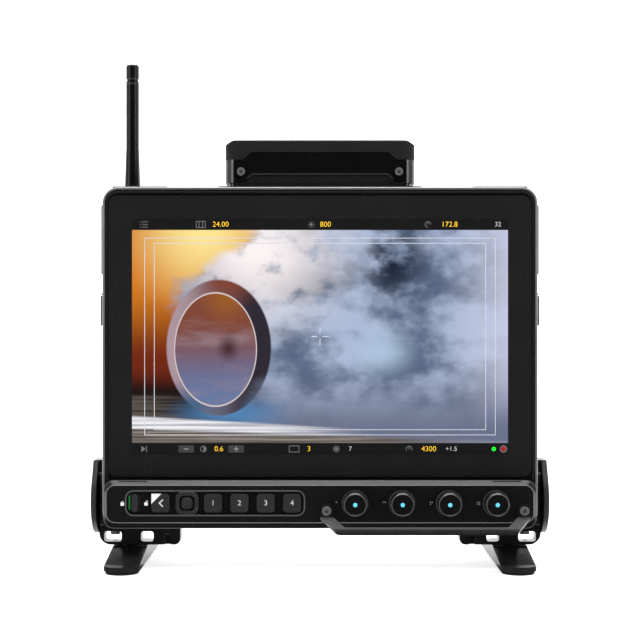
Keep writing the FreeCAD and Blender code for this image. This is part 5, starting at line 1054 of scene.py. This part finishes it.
# Near-black boxes: painted shade standing in for the dark inside of the slits.
piece("bar_slits", bm, finish("slit_painted_shade", (0.002, 0.002, 0.002), 0.7, specular=0.1), "monitor")

# %% [markdown]
# A low ledge crosses the foot of the receiver's front panel between its two screws.

# %%
LEDGE_MARGIN, LEDGE_SLOPE = 7.6, 3.0
LEDGE_RISE, LEDGE_STEP = 5.0, 2.4
LEDGE, LEDGE_DEPTH = 0.8, 0.35
panel = Spot("receiver_front_panel")

bm = bmesh.new()
upper = panel.low.z + LEDGE_RISE
lower = upper - LEDGE_STEP
foot = panel.half_x - LEDGE_MARGIN
level_part = foot - LEDGE_SLOPE
path = [(-foot, lower), (-level_part, upper), (level_part, upper), (foot, lower)]
under = [(x, z - LEDGE) for x, z in reversed(path)]
add_polygon(bm, path + under, (panel.front - LEDGE_DEPTH, panel.front + SEAT))
piece("receiver_ledge", bm, black("ledge_paint", 0.030, 0.4), "monitor")

# %% [markdown]
# ## Fittings on the back, top and sides
#
# Threaded holes have steel inserts. Their places are those of the record's mounts: two on top, one on
# each side, and the four holes of the wall mount.

# %%
INSERT_WALL, WALL_INSERT = 1.7, 1.3
INSERT_RISE, INSERT_SINK = 0.06, 0.3
mounts = {mount["name"]: mount for mount in frame["record"]["mounts"]}


def add_insert(bm, centre, axis, inner, outer, steps=32):
    """A flat ring about any axis, as one closed band sunk a little into its face."""
    turn = Vector((0, 0, 1)).rotation_difference(Vector(axis)).to_matrix().to_4x4()
    place = Matrix.Translation(Vector(centre) * MM) @ turn
    rows = []
    for inner_place, outer_place in zip(around(0, 0, inner, steps), around(0, 0, outer, steps)):
        low = [(*spot, -INSERT_SINK) for spot in (inner_place, outer_place)]
        high = [(*spot, INSERT_RISE) for spot in (outer_place, inner_place)]
        rows.append([bm.verts.new(place @ (Vector(corner) * MM)) for corner in low + high])
    add_band(bm, rows, closed=True)


bm = bmesh.new()
for mount in mounts.values():
    if mount["kind"] == "threaded_hole":
        axis = Vector(mount["axis"])
        mouth = Vector(mount["pos_m"]) / MM + axis * mount["dims"]["length_mm"] / 2
        radius = mount["dims"]["r_mm"]
        add_insert(bm, mouth, axis, radius, radius + INSERT_WALL)
wall = mounts["wall_mount"]
across, up = wall["dims"]["spacing_x_mm"] / 2, wall["dims"]["spacing_y_mm"] / 2
for dx, dz in ((-across, -up), (across, -up), (across, up), (-across, up)):
    mouth = Vector(wall["pos_m"]) / MM + Vector((dx, 0.0, dz))
    radius = wall["dims"]["hole_r_mm"]
    add_insert(bm, mouth, (0, 1, 0), radius, radius + WALL_INSERT)
piece("thread_inserts", bm, FINISHES["socket_metal"], "monitor")

# %% [markdown]
# The two video sockets get gold centre pins and bayonet studs, and the power inlet gets four pins.

# %%
SOCKET_MARGIN, SOCKET_STEP = 7.2, 26.0
INLET_PINS = ((-1.8, -1.2), (1.8, -1.2), (-1.1, 1.6), (1.1, 1.6))
INLET_FLOOR, INLET_PIN, INLET_LENGTH = 2.1, 0.5, 1.1
STUD_NEAR, STUD_FAR, STUD, STUD_DEPTH = 4.6, 5.9, 0.8, 3.0
PIN, PIN_DEPTH, PIN_LENGTH = 0.7, 2.6, 2.0
sockets = Spot("rear_sockets")
first_socket = sockets.low.x + SOCKET_MARGIN
video_sockets = (first_socket, first_socket + SOCKET_STEP)
inlet_x = sockets.high.x - SOCKET_MARGIN


def add_rod(bm, start, end, radius, steps=24):
    """A round rod between two places in millimetres."""
    first, last = Vector(start) * MM, Vector(end) * MM
    turn = (last - first).to_track_quat("Z", "Y").to_matrix().to_4x4()
    place = Matrix.Translation((first + last) / 2) @ turn
    size = {"radius1": radius * MM, "radius2": radius * MM, "depth": (last - first).length}
    bmesh.ops.create_cone(bm, cap_ends=True, segments=steps, matrix=place, **size)


bm = bmesh.new()
inner = sockets.back - PIN_DEPTH
for x in video_sockets:
    add_rod(bm, (x, inner, sockets.z), (x, inner + PIN_LENGTH, sockets.z), PIN)
inlet = shell.back + INLET_FLOOR
for dx, dz in INLET_PINS:
    pin = (inlet_x + dx, inlet, sockets.z + dz)
    add_rod(bm, pin, (pin[0], inlet + INLET_LENGTH, pin[2]), INLET_PIN, steps=16)
piece("socket_pins", bm, FINISHES["jack_metal"], "monitor")

bm = bmesh.new()
depth = sockets.back - STUD_DEPTH
for x in video_sockets:
    for side in (-1, 1):
        near, far = x + side * STUD_NEAR, x + side * STUD_FAR
        add_rod(bm, (near, depth, sockets.z), (far, depth, sockets.z), STUD, steps=16)
piece("socket_studs", bm, FINISHES["socket_metal"], "monitor")

# %% [markdown]
# The power button carries a plain on-off sign, and the antenna's collar has a knurl for the fingers.

# %%
POWER_RING, POWER_START, POWER_END = (1.8, 2.3), 120.0, 420.0
POWER_BAR, POWER_LOW, POWER_HIGH = 0.5, 0.6, 2.6
POWER_SINK, POWER_RISE = 0.05, 0.04
KNURL, KNURL_COUNT = 4.8, 28
KNURL_STEP, KNURL_SPAN, KNURL_RISE, KNURL_MARGIN = 0.3, 4.0, 0.5, 0.5
power = Spot("power_button")
elbow = Spot("antenna_elbow")
jack = Spot("antenna_jack")

bm = bmesh.new()
sign = (power.back - POWER_SINK, power.back + POWER_RISE)
add_ring(bm, power.x, power.z, *POWER_RING, sign, start=POWER_START, end=POWER_END, steps=40)
add_box(bm, about(power.x, POWER_BAR / 2), (power.z + POWER_LOW, power.z + POWER_HIGH), sign)
piece("power_sign", bm, white_print, "power")

bm = bmesh.new()
middle = elbow.front + KNURL_MARGIN + KNURL_SPAN / 2
for k in range(KNURL_COUNT):
    ridge = bmesh.ops.create_cube(bm, size=1.0)["verts"]
    turn = Matrix.Rotation(2 * math.pi * k / KNURL_COUNT, 4, "Y")
    shape = Matrix.Diagonal((KNURL_STEP * MM, KNURL_SPAN * MM, KNURL_RISE * MM, 1))
    place = Matrix.Translation(Vector((jack.x, middle, jack.z)) * MM) @ turn
    bmesh.ops.transform(bm, matrix=place @ Matrix.Translation((KNURL * MM, 0, 0)) @ shape, verts=ridge)
piece("collar_knurl", bm, FINISHES["jack_metal"], "antenna_base")

# %% [markdown]
# ## Studio
#
# The monitor stands on a plain white floor before a white wall. Dark screens that only mirror in the
# surfaces lie in front of the monitor, so that its black front stays black.

# %%
def stage_plane(name, corners, colour, glow):
    mesh = bpy.data.meshes.new(name)
    mesh.from_pydata(corners, [], [(0, 1, 2, 3)])
    material, tree, shader = new_material(name)
    dress(shader, colour=(*colour, 1.0), rough=0.9, specular=0.0, light=(1.0, 1.0, 1.0, 1.0), glow=glow)
    mesh.materials.append(material)
    plane = bpy.data.objects.new(name, mesh)
    bpy.context.scene.collection.objects.link(plane)
    plane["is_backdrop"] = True
    return plane


def dark_screen(name, corners):
    plane = stage_plane(name, corners, (0.01, 0.01, 0.01), 0.0)
    plane.visible_camera = False
    plane.visible_diffuse = False
    plane.visible_shadow = False


WIDE, TALL, FLOOR = 4.0, 2.4, 9.0
WALL_AT, SCREEN_FROM, SCREEN_TO = 1.6, -0.025, -2.2
LIFT = 0.001
WHITE = (0.9, 0.9, 0.9)
FLOOR_GLOW, WALL_GLOW = 0.70, 1.0


def upright(y, height):
    return [(-WIDE, y, 0.0), (WIDE, y, 0.0), (WIDE, y, height), (-WIDE, y, height)]


def level(z, near, far, half):
    return [(-half, near, z), (half, near, z), (half, far, z), (-half, far, z)]


stage_plane("floor", level(0.0, -FLOOR, FLOOR, FLOOR), WHITE, FLOOR_GLOW)
stage_plane("wall", upright(WALL_AT, 2 * TALL), WHITE, WALL_GLOW)
dark_screen("dark_front", upright(SCREEN_TO, TALL))
dark_screen("dark_floor", level(LIFT, SCREEN_TO, SCREEN_FROM, WIDE))
print("floor, wall and dark screens ready")

# %% [markdown]
# A long soft lamp overhead draws bright lines along the upper edges, and two tall lamps do the same at the
# sides. A dim white world fills the shadows.

# %%
OVERHEAD, OVERHEAD_SIZE, OVERHEAD_POWER = (0.0, -0.15, 1.3), (1.4, 0.7), 15.0
SIDE, SIDE_SIZE, SIDE_POWER = (1.3, -0.8, 0.4), (0.4, 1.0), 3.0
WORLD_GLOW = 0.3


def lamp(name, place, size, power):
    """A soft lamp that looks at the middle of the monitor."""
    data = bpy.data.lights.new(name, "AREA")
    data.shape = "RECTANGLE"
    data.size, data.size_y = size
    data.energy = power
    light = bpy.data.objects.new(name, data)
    light.location = place
    target = Vector((0.0, 0.0, glass.z * MM))
    light.rotation_euler = (target - Vector(place)).to_track_quat("-Z", "Y").to_euler()
    bpy.context.scene.collection.objects.link(light)


lamp("overhead", OVERHEAD, OVERHEAD_SIZE, OVERHEAD_POWER)
lamp("left_side", (-SIDE[0], *SIDE[1:]), SIDE_SIZE, SIDE_POWER)
lamp("right_side", SIDE, SIDE_SIZE, SIDE_POWER)

world = bpy.data.worlds.new("studio")
world.use_nodes = True
world.node_tree.nodes["Background"].inputs["Color"].default_value = (1.0, 1.0, 1.0, 1.0)
world.node_tree.nodes["Background"].inputs["Strength"].default_value = WORLD_GLOW
scene = bpy.context.scene
scene.world = world
scene.view_settings.view_transform = "Standard"
print("lamps ready")

# %% [markdown]
# The camera looks square at the front from a little under a metre away, level with the screen.

# %%
LENS, SENSOR = 87.5, 36.0
DISTANCE = 0.928
EYE_HEIGHT = 0.1429

data = bpy.data.cameras.new("camera")
data.lens = LENS
data.sensor_width = SENSOR
camera = bpy.data.objects.new("camera", data)
camera.location = (0.0, -DISTANCE, EYE_HEIGHT)
camera.rotation_euler = (math.radians(90), 0.0, 0.0)
scene.collection.objects.link(camera)
scene.camera = camera
print("camera", round(DISTANCE, 3), "m from the middle")

# %% [markdown]
# ## Size
#
# The boxes of the CAD model and of the dressed monitor are printed side by side.

# %%
boxes = {"before": bounds_before, "after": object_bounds()}
boxes = {name: [list(corner) for corner in box] for name, box in boxes.items()}
print(boxes)
